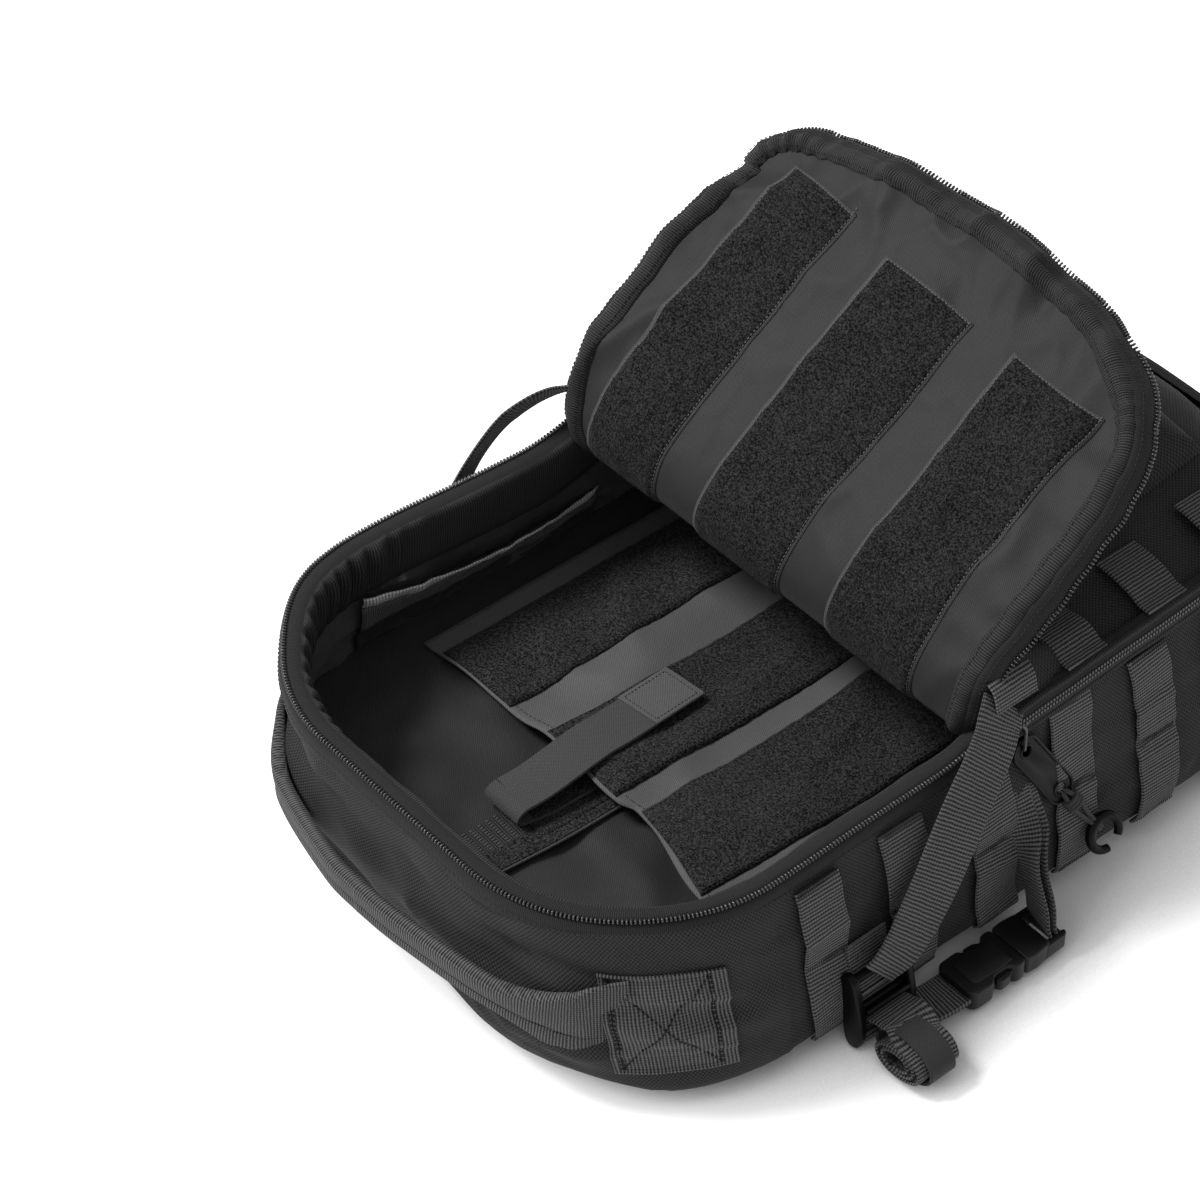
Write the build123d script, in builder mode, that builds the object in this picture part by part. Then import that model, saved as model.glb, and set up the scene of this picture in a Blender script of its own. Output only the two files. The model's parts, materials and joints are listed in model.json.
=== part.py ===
"""Trauma backpack lying on its back with the front lid unzipped and folded open.

Millimetres.  +Z is up, X runs across the bag, -Y is the top (handle) end and +Y the bottom end.
The origin is the middle of the whole bag's footprint, on the surface that it lies on.
"""
from build123d import *
import os
from math import atan2, cos, radians, sin, tan

os.makedirs("parts", exist_ok=True)

# ---------------------------------------------------------------- driving dimensions
WEB_WIDTH = 25.4
WEB_THICK = 1.4
MOLLE_PITCH = 51.5
WALL = 3.0
GAP = 0.3

BACK_Z = 14.0            # underside of the back panel, on top of the pads and shoulder straps
FLOOR_Z = 22.0           # inside floor of the main compartment
RIM_Z = 100.0            # top edge of the tub walls
FRONT_Z = 102.0          # lower edge of the closed front half

FOOT_HALF = 165.0        # half width where the walls meet the back panel
RIM_HALF = 144.5         # half width at the rim
FOOT_TOP = -209.0
RIM_TOP = -213.0
FOOT_BOTTOM = 238.0
RIM_BOTTOM = 234.0
TOP_CORNER = 95.0        # corner radius of the rim at the top end
BOTTOM_CORNER = 50.0
TOP_SPLIT = -118.0       # where the top wall is sewn to the side walls
BOTTOM_SPLIT = 180.0

FOLD_Y = 14.0            # the front half starts here; everything nearer the top end opens
FRONT_HALF = 147.5
FRONT_START_Z = 126.0
FRONT_SLOPE = 15.0
GUSSET_LEAN = 22.0

AXIS_Y = -9.0            # line that the lid folds about
AXIS_Z = 116.5
AXIS_DEPTH = 11.5        # of the fold line behind the lid's inner face
LID_LEAN = 37.0          # of the open lid above the horizontal
LID_THICK = 8.0
LID_LENGTH = AXIS_Y - RIM_TOP
LID_FOOT = -3.0
STRIP_WIDTH = 50.0

SLEEVE_HALF = 132.0
SLEEVE_START = -93.0
SLEEVE_END = 200.0
SLEEVE_Z = 33.0

LOCK_Y = -75.0           # ladder lock of the upper compression strap
BUCKLE_Y = -4.0          # mouth of the side release buckle's socket
BUCKLE_X = 182.0
PAD_THICK = 12.0


def save(piece, name):
    """Label one finished piece and write it as a STEP file of that name."""
    piece.label = name
    export_step(piece, f"parts/{name}.step")


def outline(plane, inset, half, top_y, bottom_y, top_radius, bottom_radius):
    """Rounded outline across the bag at one level, drawn in all round by inset."""
    with BuildSketch(plane) as level:
        with Locations((0, (top_y + bottom_y) / 2)):
            Rectangle(2 * (half - inset), bottom_y - top_y - 2 * inset)
        fillet(level.vertices().group_by(Axis.Y)[0], top_radius - inset)
        fillet(level.vertices().group_by(Axis.Y)[-1], bottom_radius - inset)
    return level.sketch


def rim_outline(z, inset):
    """Outline of the rim, which every zipper and binding ring follows."""
    return outline(Plane.XY.offset(z), inset, RIM_HALF, RIM_TOP, RIM_BOTTOM, TOP_CORNER, BOTTOM_CORNER)


def tub(inset):
    """Solid of the tub from the back panel's underside to the rim, drawn in by inset."""
    foot = outline(Plane.XY.offset(BACK_Z), inset, FOOT_HALF, FOOT_TOP, FOOT_BOTTOM,
                   TOP_CORNER - 5, BOTTOM_CORNER + 5)
    rim = rim_outline(RIM_Z, inset)
    with BuildPart() as block:
        loft([foot.face(), rim.face()])
    return block.part


def mirrored_pair(solid):
    """The solid and its mirror image across the bag's middle, as one group."""
    return Compound(children=[solid, mirror(solid, about=Plane.YZ)])


# ---------------------------------------------------------------- planes
SIDE_TILT = atan2(FOOT_HALF - RIM_HALF, RIM_Z - BACK_Z)
SIDE_PLANE = Plane(origin=(FOOT_HALF, 0, BACK_Z), x_dir=(0, 1, 0), z_dir=(cos(SIDE_TILT), 0, sin(SIDE_TILT)))
LEAN = radians(GUSSET_LEAN)
GUSSET_PLANE = Plane(origin=(FRONT_HALF, 0, FRONT_Z), x_dir=(0, 1, 0), z_dir=(cos(LEAN), 0, sin(LEAN)))
SLOPE = radians(FRONT_SLOPE)
FRONT_PLANE = Plane(origin=(0, FOLD_Y, FRONT_START_Z), x_dir=(1, 0, 0), z_dir=(0, -sin(SLOPE), cos(SLOPE)))
LID_TURN = radians(LID_LEAN)
LID_ORIGIN = (0, AXIS_Y - AXIS_DEPTH * sin(LID_TURN), AXIS_Z + AXIS_DEPTH * cos(LID_TURN))
LID_PLANE = Plane(origin=LID_ORIGIN, x_dir=(1, 0, 0), z_dir=(0, -sin(LID_TURN), cos(LID_TURN)))
LID_SIDE = Plane(origin=LID_ORIGIN, x_dir=(0, cos(LID_TURN), sin(LID_TURN)), z_dir=(1, 0, 0))

# ---------------------------------------------------------------- tub: back panel, walls and pads
OUTER_TUB = tub(0)
INNER_TUB = tub(WALL)
BAG_LENGTH = FOOT_BOTTOM - FOOT_TOP

with BuildPart() as back_panel:
    add(OUTER_TUB)
    with BuildSketch(Plane.XY.offset(BACK_Z)):
        Rectangle(3 * FOOT_HALF, 2 * BAG_LENGTH)
    extrude(amount=FLOOR_Z - BACK_Z, mode=Mode.INTERSECT)
save(back_panel.part, "back_panel")


def wall_panel(low, high):
    """The stretch of the tub wall inside the box from low to high in X and Y."""
    with BuildPart() as wall:
        add(OUTER_TUB)
        add(INNER_TUB, mode=Mode.SUBTRACT)
        with BuildSketch(Plane.XY.offset(FLOOR_Z)):
            with Locations(((low[0] + high[0]) / 2, (low[1] + high[1]) / 2)):
                Rectangle(high[0] - low[0], high[1] - low[1])
        extrude(amount=RIM_Z - FLOOR_Z, mode=Mode.INTERSECT)
    return wall.part


REACH = 2 * FOOT_HALF
save(wall_panel((-REACH, -REACH), (REACH, TOP_SPLIT)), "top_panel")
save(wall_panel((-REACH, BOTTOM_SPLIT), (REACH, REACH)), "bottom_panel")
save(wall_panel((-REACH, TOP_SPLIT), (0, BOTTOM_SPLIT)), "side_panel_left")
save(wall_panel((0, TOP_SPLIT), (REACH, BOTTOM_SPLIT)), "side_panel_right")

YOKE_HALF = 75.0
with BuildPart() as yoke_pad:
    with BuildSketch():
        with Locations((0, -185.5)):
            RectangleRounded(2 * YOKE_HALF, 39, 12)
    extrude(amount=BACK_Z - GAP)
    fillet(yoke_pad.edges().group_by(Axis.Z)[0], 3)
save(yoke_pad.part, "yoke_pad")

LUMBAR_HALF = 88.0
with BuildPart() as lumbar_pad:
    with BuildSketch():
        with Locations((0, 162.5)):
            RectangleRounded(2 * LUMBAR_HALF, 105, 20)
    extrude(amount=BACK_Z - GAP)
    fillet(lumbar_pad.edges().group_by(Axis.Z)[0], 3)
save(lumbar_pad.part, "lumbar_pad")

# ---------------------------------------------------------------- closed front half
FRONT_BOTTOM = 236.0
FRONT_RISE = 90.0
PANEL_THICK = 3.0


def front_block(inset):
    """Solid under the closed front half, with leaning sides, open-ended at the fold."""
    foot = outline(Plane.XY.offset(FRONT_Z), inset, FRONT_HALF, -60.0, FRONT_BOTTOM, 8.0, BOTTOM_CORNER)
    with BuildPart() as block:
        extrude(to_extrude=foot.face(), amount=FRONT_RISE, taper=GUSSET_LEAN)
        with BuildSketch(Plane.XY.offset(FRONT_Z)):
            with Locations((0, FOLD_Y + REACH / 2)):
                Rectangle(REACH, REACH)
        extrude(amount=FRONT_RISE, mode=Mode.INTERSECT)
    return block.part


OUTER_FRONT = front_block(0)
INNER_FRONT = front_block(WALL)

with BuildPart() as front_gusset:
    add(OUTER_FRONT)
    add(INNER_FRONT, mode=Mode.SUBTRACT)
    split(bisect_by=FRONT_PLANE.offset(-PANEL_THICK), keep=Keep.BOTTOM)
save(front_gusset.part, "front_gusset")

with BuildPart() as front_panel:
    add(OUTER_FRONT)
    split(bisect_by=FRONT_PLANE.offset(-PANEL_THICK), keep=Keep.TOP)
    split(bisect_by=FRONT_PLANE, keep=Keep.BOTTOM)
save(front_panel.part, "front_panel")

FRONT_POCKET_THICK = 11.0
FRONT_POCKET_HALF = 98.0
with BuildPart() as front_pocket:
    with BuildSketch(FRONT_PLANE.offset(GAP)):
        with Locations((0, 127)):
            RectangleRounded(2 * FRONT_POCKET_HALF, 128, 24)
    extrude(amount=FRONT_POCKET_THICK, taper=18)
save(front_pocket.part, "front_pocket")

POCKET_TOP = FRONT_PLANE.offset(GAP + FRONT_POCKET_THICK + GAP)
with BuildPart() as front_pocket_zipper:
    with BuildSketch(POCKET_TOP):
        with Locations((0, 76)):
            RectangleRounded(140, 9, 3)
    extrude(amount=1.6)
save(front_pocket_zipper.part, "front_pocket_zipper")

with BuildPart() as molle_front_rows:
    with BuildSketch(POCKET_TOP):
        with Locations((0, 104), (0, 104 + 2 * WEB_WIDTH)):
            Rectangle(166, WEB_WIDTH)
    extrude(amount=WEB_THICK)
save(molle_front_rows.part, "molle_front_rows")

# ---------------------------------------------------------------- rim: zipper half and binding
OPEN_END = 24.0          # the rim zipper is open from the top end to here


def rim_ring(low_z, high_z, outer_inset, inner_inset, end_y):
    """Ring that follows the open stretch of the rim between two insets."""
    with BuildPart() as ring:
        extrude(to_extrude=rim_outline(low_z, outer_inset).face(), amount=high_z - low_z)
        extrude(to_extrude=rim_outline(low_z, inner_inset).face(), amount=high_z - low_z, mode=Mode.SUBTRACT)
        with BuildSketch(Plane.XY.offset(low_z)):
            with Locations((0, end_y - REACH / 2)):
                Rectangle(REACH, REACH)
        extrude(amount=high_z - low_z, mode=Mode.INTERSECT)
    return ring.part


TEETH_WIDTH = 3.0
TAPE_INNER = 11.0
save(rim_ring(RIM_Z + 0.1, RIM_Z + 3.2, 0, TEETH_WIDTH, FOLD_Y - 2), "rim_zipper_teeth")
save(rim_ring(RIM_Z + 0.1, RIM_Z + 1.1, TEETH_WIDTH + 0.2, TAPE_INNER, FOLD_Y - 2), "rim_zipper_tape")
save(rim_ring(RIM_Z - 12, RIM_Z - 0.2, 4.0, TAPE_INNER + 1, OPEN_END), "rim_binding")

with BuildPart() as chain:
    with BuildSketch(GUSSET_PLANE.offset(GAP)):
        with Locations((81, 7)):
            Rectangle(94, 8)
    extrude(amount=2)
save(mirrored_pair(chain.part), "side_zipper_chains")

# ---------------------------------------------------------------- inside the main compartment
with BuildPart() as sleeve_panel:
    with BuildSketch(Plane.XY.offset(SLEEVE_Z)):
        with Locations((0, (SLEEVE_START + SLEEVE_END) / 2)):
            Rectangle(2 * SLEEVE_HALF, SLEEVE_END - SLEEVE_START)
    extrude(amount=2)
    with BuildSketch(Plane.XY.offset(FLOOR_Z + 0.1)):
        with Locations((SLEEVE_HALF - 1, (SLEEVE_START + SLEEVE_END) / 2),
                       (1 - SLEEVE_HALF, (SLEEVE_START + SLEEVE_END) / 2)):
            Rectangle(2, SLEEVE_END - SLEEVE_START)
        with Locations((0, SLEEVE_END - 1)):
            Rectangle(2 * SLEEVE_HALF - 4.4, 2)
    extrude(amount=SLEEVE_Z - FLOOR_Z - 0.3)
save(sleeve_panel.part, "sleeve_panel")

SLEEVE_STRIPS = (-100.0, -16.0, 66.0)
with BuildPart() as sleeve_loop_strips:
    with BuildSketch(Plane.XY.offset(SLEEVE_Z + 2.1)):
        for strip_x in SLEEVE_STRIPS:
            with Locations((strip_x, (SLEEVE_START + SLEEVE_END) / 2)):
                Rectangle(STRIP_WIDTH, SLEEVE_END - SLEEVE_START - 4)
    extrude(amount=1.4)
save(sleeve_loop_strips.part, "sleeve_loop_strips")

TAB_X = -23.5
TAB_BEND_Y = -131.0
with BuildPart() as sleeve_tab:
    with BuildSketch(Plane.XY.offset(SLEEVE_Z + 5.5)):
        with Locations((TAB_X, (TAB_BEND_Y - 10) / 2)):
            Rectangle(WEB_WIDTH, -10 - TAB_BEND_Y)
    extrude(amount=1.8)
save(sleeve_tab.part, "sleeve_tab")

with BuildPart() as sleeve_tab_root:
    with BuildSketch(Plane.XY.offset(FLOOR_Z + 5)):
        with Locations((TAB_X, (TAB_BEND_Y - 70) / 2)):
            Rectangle(WEB_WIDTH, -70 - TAB_BEND_Y)
    extrude(amount=1.8)
save(sleeve_tab_root.part, "sleeve_tab_root")

with BuildPart() as hanger_webbing:
    with BuildSketch(Plane.XY.offset(FLOOR_Z + 0.1)):
        with Locations((-21.5, -124)):
            Rectangle(WEB_WIDTH, 78)
    extrude(amount=WEB_THICK)
save(hanger_webbing.part, "hanger_webbing")

with BuildPart() as wall_pocket_right:
    with BuildSketch(SIDE_PLANE.offset(-WALL - GAP - 2)):
        with Locations((-42, 36)):
            RectangleRounded(130, 42, 4)
    extrude(amount=2)
save(mirror(wall_pocket_right.part, about=Plane.YZ), "wall_pocket")

# ---------------------------------------------------------------- webbing rows on the outside
SIDE_ROWS = [-92.5 + MOLLE_PITCH * step for step in range(6)]
with BuildPart() as side_rows:
    with BuildSketch(SIDE_PLANE.offset(0.2)):
        for row_y in SIDE_ROWS:
            with Locations((row_y, 47)):
                Rectangle(WEB_WIDTH, 76)
    extrude(amount=WEB_THICK)
save(mirrored_pair(side_rows.part), "molle_side_rows")

with BuildPart() as gusset_rows:
    with BuildSketch(GUSSET_PLANE.offset(0.2)):
        for row_y in SIDE_ROWS[3:]:
            top = (FRONT_START_Z + (row_y - FOLD_Y) * tan(SLOPE) - 8 - FRONT_Z) / cos(LEAN)
            with Locations((row_y, (14 + top) / 2)):
                Rectangle(WEB_WIDTH, top - 14)
    extrude(amount=WEB_THICK)
save(mirrored_pair(gusset_rows.part), "molle_gusset_rows")

# ---------------------------------------------------------------- carrying handle
with BuildPart() as handle_end:
    add(tub(-2.3))
    add(tub(-GAP), mode=Mode.SUBTRACT)
    with BuildSketch(Plane.XY.offset(18)):
        with Locations((131, -166)):
            Rectangle(54, 60)
    extrude(amount=50, mode=Mode.INTERSECT)
save(mirrored_pair(handle_end.part), "handle_ends")

GRIP_HALF = 100.0
GRIP_END_Y = -208.0
GRIP_MIDDLE_Y = -236.5
GRIP_THICK = 3.0
with BuildPart() as handle_grip:
    with BuildSketch(Plane.XY.offset(50)):
        with BuildLine():
            ThreePointArc((-GRIP_HALF, GRIP_END_Y + GRIP_THICK / 2), (0, GRIP_MIDDLE_Y + GRIP_THICK / 2),
                          (GRIP_HALF, GRIP_END_Y + GRIP_THICK / 2))
            Line((GRIP_HALF, GRIP_END_Y + GRIP_THICK / 2), (GRIP_HALF, GRIP_END_Y - GRIP_THICK / 2))
            ThreePointArc((GRIP_HALF, GRIP_END_Y - GRIP_THICK / 2), (0, GRIP_MIDDLE_Y - GRIP_THICK / 2),
                          (-GRIP_HALF, GRIP_END_Y - GRIP_THICK / 2))
            Line((-GRIP_HALF, GRIP_END_Y - GRIP_THICK / 2), (-GRIP_HALF, GRIP_END_Y + GRIP_THICK / 2))
        make_face()
    extrude(amount=28)
save(handle_grip.part, "handle_grip")

# ---------------------------------------------------------------- upper compression straps
STRAP_TOP = Vector(148.5, 15, 121)
STRAP_FOOT = Vector(175, LOCK_Y + 2, 37)
STRAP_RUN = STRAP_FOOT - STRAP_TOP
STRAP_FACE = Vector(1, 0, 0.22)
STRAP_SIDE = STRAP_FACE.cross(STRAP_RUN).normalized()
STRAP_PLANE = Plane(origin=(STRAP_TOP + STRAP_FOOT) * 0.5, x_dir=STRAP_RUN, z_dir=STRAP_RUN.cross(STRAP_SIDE))

with BuildPart() as upper_strap:
    with BuildSketch(STRAP_PLANE):
        Rectangle(STRAP_RUN.length, WEB_WIDTH)
    extrude(amount=WEB_THICK / 2, both=True)
with BuildPart() as strap_anchor:
    with BuildSketch(GUSSET_PLANE.offset(0.2)):
        with Locations((22, 17)):
            Rectangle(14, 10)
    extrude(amount=3.4)
right_strap = Compound(children=[upper_strap.part, strap_anchor.part])
save(mirrored_pair(right_strap), "upper_straps")

CHEEK = 4.0
LOCK_HALF = WEB_WIDTH / 2 + 0.6
with BuildPart() as ladder_lock:
    for cheek_y in (LOCK_Y - LOCK_HALF, LOCK_Y + LOCK_HALF + CHEEK):
        with BuildSketch(Plane.XZ.offset(-cheek_y)):
            with BuildLine():
                Polyline((162.6, 38), (168.6, 42.5), (177, 9), (174, 1.5), (167.5, 3.5), close=True)
            make_face()
        extrude(amount=CHEEK)
    with BuildSketch(Plane.XZ.offset(-LOCK_Y)):
        with Locations((167, 36), (170.5, 21), (172, 8)):
            Circle(2)
    extrude(amount=LOCK_HALF + 0.1, both=True)
save(mirrored_pair(ladder_lock.part), "ladder_locks")

with BuildPart() as lock_webbing:
    with BuildSketch(SIDE_PLANE.offset(0.2 + WEB_THICK + 0.2)):
        with Locations((LOCK_Y, 32)):
            Rectangle(WEB_WIDTH, 30)
    extrude(amount=1.8)
save(mirrored_pair(lock_webbing.part), "lock_webbing")

TAIL_X = 195.0
TAIL_Z = 11.8
with BuildPart() as strap_tail:
    with BuildSketch(Plane.XZ.offset(-LOCK_Y)):
        with Locations((TAIL_X, TAIL_Z)):
            SlotOverall(32, 19)
            SlotOverall(16, 4, mode=Mode.SUBTRACT)
    extrude(amount=WEB_WIDTH / 2, both=True)
with BuildPart() as tail_keeper:
    with BuildSketch(Plane.XZ.offset(-LOCK_Y)):
        with Locations((TAIL_X, TAIL_Z)):
            SlotOverall(36, 23)
            SlotOverall(32.8, 19.8, mode=Mode.SUBTRACT)
    extrude(amount=7, both=True)

# ---------------------------------------------------------------- side release buckles
SOCKET_LONG = 34.0
SOCKET_HALF = 12.0
SOCKET_LOW = 2.0
SOCKET_TALL = 12.0
SOCKET_PLANE = Plane.XZ.offset(-BUCKLE_Y)
PRONG_LONG = 24.0

with BuildPart() as buckle_socket:
    with BuildSketch(SOCKET_PLANE):
        with Locations((BUCKLE_X, SOCKET_LOW + SOCKET_TALL / 2)):
            RectangleRounded(2 * SOCKET_HALF, SOCKET_TALL, 3)
    extrude(amount=SOCKET_LONG)
    with BuildSketch(SOCKET_PLANE):
        with Locations((BUCKLE_X, SOCKET_LOW + SOCKET_TALL / 2)):
            Rectangle(2 * SOCKET_HALF - 5, SOCKET_TALL - 5)
    extrude(amount=PRONG_LONG + 2, mode=Mode.SUBTRACT)
save(mirrored_pair(buckle_socket.part), "buckle_sockets")

with BuildPart() as buckle_male:
    with BuildSketch(Plane.XZ.offset(-BUCKLE_Y - 0.5)):
        with Locations((BUCKLE_X, SOCKET_LOW + SOCKET_TALL / 2)):
            RectangleRounded(2 * SOCKET_HALF, SOCKET_TALL, 3)
    extrude(amount=-27)
    with BuildSketch(Plane.XY.offset(SOCKET_LOW)):
        with Locations((BUCKLE_X, BUCKLE_Y + 19)):
            RectangleRounded(17, 5, 1.5)
    extrude(amount=SOCKET_TALL, mode=Mode.SUBTRACT)
    with BuildSketch(Plane.XZ.offset(-BUCKLE_Y - 1)):
        with Locations((BUCKLE_X, SOCKET_LOW + SOCKET_TALL / 2)):
            Rectangle(2 * SOCKET_HALF - 7, SOCKET_TALL - 7)
    extrude(amount=PRONG_LONG + 1)

with BuildPart() as socket_webbing:
    with BuildSketch(Plane.XY.offset(SOCKET_LOW + SOCKET_TALL / 2 - 1)):
        with Locations((179, BUCKLE_Y - SOCKET_LONG - 9.5)):
            Rectangle(26, 18)
    extrude(amount=2)
save(mirrored_pair(socket_webbing.part), "socket_webbing")

BUCKLE_STRAP_TOP = Vector(162, 17, 62)
BUCKLE_STRAP_FOOT = Vector(178, 17, 18)
BUCKLE_STRAP_RUN = BUCKLE_STRAP_FOOT - BUCKLE_STRAP_TOP
BUCKLE_STRAP_PLANE = Plane(origin=(BUCKLE_STRAP_TOP + BUCKLE_STRAP_FOOT) * 0.5, x_dir=BUCKLE_STRAP_RUN,
                           z_dir=BUCKLE_STRAP_RUN.cross(Vector(0, 1, 0)))
with BuildPart() as buckle_strap:
    with BuildSketch(BUCKLE_STRAP_PLANE):
        Rectangle(BUCKLE_STRAP_RUN.length, WEB_WIDTH)
    extrude(amount=1.6, both=True)
save(mirrored_pair(buckle_strap.part), "buckle_straps")

# ---------------------------------------------------------------- zipper sliders and pulls
SLIDER_Y = 30.0
with BuildPart() as zipper_slider:
    with BuildSketch(GUSSET_PLANE.offset(GAP + 2 + GAP)):
        with Locations((SLIDER_Y, 7)):
            RectangleRounded(12, 10, 3)
    extrude(amount=3.4)
    with BuildSketch(GUSSET_PLANE.offset(GAP + 2 + GAP + 3.3)):
        with Locations((SLIDER_Y, 7)):
            RectangleRounded(9, 3.5, 1)
    extrude(amount=2)

PULL_DRIFT = 30.0        # degrees that the hanging pull leans towards the bottom end
PULL_TOP = (SLIDER_Y - 4.0, 86.0)
PULL_OFF = 3.0
PULL_ACROSS = (cos(radians(PULL_DRIFT)), sin(radians(PULL_DRIFT)))
PULL_DOWN = (PULL_ACROSS[1], -PULL_ACROSS[0])


def along_pull(distance):
    """Place on the side wall at a distance down the hanging pull."""
    return (PULL_TOP[0] + PULL_DOWN[0] * distance, PULL_TOP[1] + PULL_DOWN[1] * distance)


PULL_ANGLE = PULL_DRIFT - 90
with BuildPart() as pull_tab:
    with BuildSketch(SIDE_PLANE.offset(PULL_OFF)):
        with Locations(Location((*along_pull(25), 0), (0, 0, PULL_ANGLE))):
            SlotOverall(50, 15)
        with Locations(along_pull(7), along_pull(43)):
            Circle(3.2, mode=Mode.SUBTRACT)
    extrude(amount=1.8)

with BuildPart() as pull_cord:
    with BuildSketch(SIDE_PLANE.offset(PULL_OFF + 2.1)):
        with Locations(Location((*along_pull(60), 0), (0, 0, PULL_ANGLE))):
            SlotOverall(36, 10)
            SlotOverall(31, 5, mode=Mode.SUBTRACT)
    extrude(amount=2.5)

with BuildPart() as pull_ring:
    with BuildSketch(SIDE_PLANE.offset(PULL_OFF + 5)):
        with Locations(along_pull(84)):
            Circle(11)
            Circle(6.5, mode=Mode.SUBTRACT)
        with Locations(Location((*along_pull(93), 0), (0, 0, PULL_ANGLE))):
            Rectangle(8, 5, mode=Mode.SUBTRACT)
    extrude(amount=4.5)

# ---------------------------------------------------------------- lid
LID_POCKET_START = 25.0
LID_POCKET_END = 192.0
LID_POCKET_LOW = 12.0
LID_POCKET_HIGH = 50.0


def lid_outline(depth, inset):
    """Outline of the lid at a depth from its inner face: square at the fold, round at the tip."""
    with BuildSketch(LID_PLANE.offset(depth)) as level:
        with Locations((0, (LID_FOOT + LID_LENGTH - inset) / 2)):
            Rectangle(2 * (RIM_HALF - inset), LID_LENGTH - inset - LID_FOOT)
        fillet(level.vertices().group_by(Axis.Y)[-1], TOP_CORNER - inset)
    return level.sketch


def lid_ring(low, high, outer_inset, inner_inset):
    """Ring round the lid's tip and sides between two insets, open at the fold."""
    with BuildPart() as ring:
        extrude(to_extrude=lid_outline(low, outer_inset).face(), amount=high - low)
        extrude(to_extrude=lid_outline(low, inner_inset).face(), amount=high - low, mode=Mode.SUBTRACT)
    return ring.part


with BuildPart() as lid_panel:
    extrude(to_extrude=lid_outline(0, TAPE_INNER + 1).face(), amount=-LID_THICK)
save(lid_panel.part, "lid_panel")
save(lid_ring(0.2, 2.8, TAPE_INNER + 1, TAPE_INNER + 11), "lid_binding")
save(lid_ring(-3.0, -1.8, TEETH_WIDTH + 0.2, TAPE_INNER + 0.8), "lid_zipper_tape")
save(lid_ring(-4.2, -1.2, 0, TEETH_WIDTH), "lid_zipper_teeth")

LID_STRIPS = (-90.0, -7.0, 76.0)
with BuildPart() as lid_loop_strips:
    with BuildSketch(LID_PLANE.offset(0.1)):
        for strip_x in LID_STRIPS:
            with Locations((strip_x, 83)):
                Rectangle(STRIP_WIDTH - 2, 160)
    extrude(amount=1.4)
    extrude(to_extrude=lid_outline(0, TAPE_INNER + 12).face(), amount=2, mode=Mode.INTERSECT)
save(lid_loop_strips.part, "lid_loop_strips")

with BuildPart() as lid_pocket:
    extrude(to_extrude=lid_outline(-LID_THICK - GAP, TAPE_INNER + 6).face(), amount=-LID_POCKET_HIGH)
    with BuildSketch(LID_SIDE):
        with BuildLine():
            Polyline((LID_POCKET_START, -LID_THICK), (LID_POCKET_START, -LID_POCKET_LOW),
                     (LID_POCKET_END, -LID_POCKET_HIGH), (LID_POCKET_END, -LID_THICK), close=True)
        make_face()
    extrude(amount=RIM_HALF, both=True, mode=Mode.INTERSECT)
save(lid_pocket.part, "lid_pocket")

POCKET_RISE = atan2(LID_POCKET_HIGH - LID_POCKET_LOW, LID_POCKET_END - LID_POCKET_START)
POCKET_FACE = Plane(origin=LID_SIDE.from_local_coords(Vector(LID_POCKET_END, -LID_POCKET_HIGH, 0)),
                    x_dir=(1, 0, 0), z_dir=(0, sin(LID_TURN - POCKET_RISE), -cos(LID_TURN - POCKET_RISE)))
with BuildPart() as lid_molle_rows:
    with BuildSketch(POCKET_FACE.offset(0.2)):
        with Locations((0, 60), (0, 60 + 2 * WEB_WIDTH)):
            Rectangle(200, WEB_WIDTH)
    extrude(amount=WEB_THICK)
save(lid_molle_rows.part, "lid_molle_rows")

with BuildPart() as lid_pocket_zipper:
    with BuildSketch(POCKET_FACE.offset(0.2)):
        with Locations((0, 32)):
            RectangleRounded(150, 9, 3)
    extrude(amount=1.6)
save(lid_pocket_zipper.part, "lid_pocket_zipper")

# ---------------------------------------------------------------- shoulder straps under the back
HARNESS_TOP = Vector(38, -158, 0)
HARNESS_FOOT = Vector(118, 175, 0)
HARNESS_LINE = (HARNESS_FOOT - HARNESS_TOP).normalized()
HARNESS_PLANE = Plane(origin=HARNESS_TOP, x_dir=HARNESS_LINE, z_dir=(0, 0, 1))
PAD_LOW = 1.0

with BuildPart() as shoulder_strap:
    with BuildSketch(HARNESS_PLANE.offset(PAD_LOW)):
        with BuildLine():
            ThreePointArc((8, -1), (125, -17), (242, -4))
            Line((242, -4), (242, -44))
            ThreePointArc((242, -44), (125, -74), (8, -46))
            Line((8, -46), (8, -1))
        make_face()
    extrude(amount=PAD_THICK)
    fillet(shoulder_strap.edges().filter_by(Axis.Z), 6)

with BuildPart() as strap_webbing:
    with BuildSketch(HARNESS_PLANE.offset(6)):
        with Locations((309, -24)):
            Rectangle(62, WEB_WIDTH)
    extrude(amount=2)

with BuildPart() as strap_adjuster:
    with BuildSketch(HARNESS_PLANE.offset(3)):
        with Locations((260, -24)):
            RectangleRounded(34, 33, 4)
            with Locations((-6, 0), (6, 0)):
                RectangleRounded(7, 26, 1, mode=Mode.SUBTRACT)
    extrude(amount=6)

# ---------------------------------------------------------------- pieces that move on their own, left and right
MOVING = {
    "strap_tail": strap_tail.part,
    "tail_keeper": tail_keeper.part,
    "buckle_male": buckle_male.part,
    "zipper_slider": zipper_slider.part,
    "pull_tab": pull_tab.part,
    "pull_cord": pull_cord.part,
    "pull_ring": pull_ring.part,
    "shoulder_strap": shoulder_strap.part,
    "strap_webbing": strap_webbing.part,
    "strap_adjuster": strap_adjuster.part,
}
for piece_name, right_part in MOVING.items():
    left_part = mirror(right_part, about=Plane.YZ)
    save(right_part, piece_name + "_right")
    save(left_part, piece_name + "_left")
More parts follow.
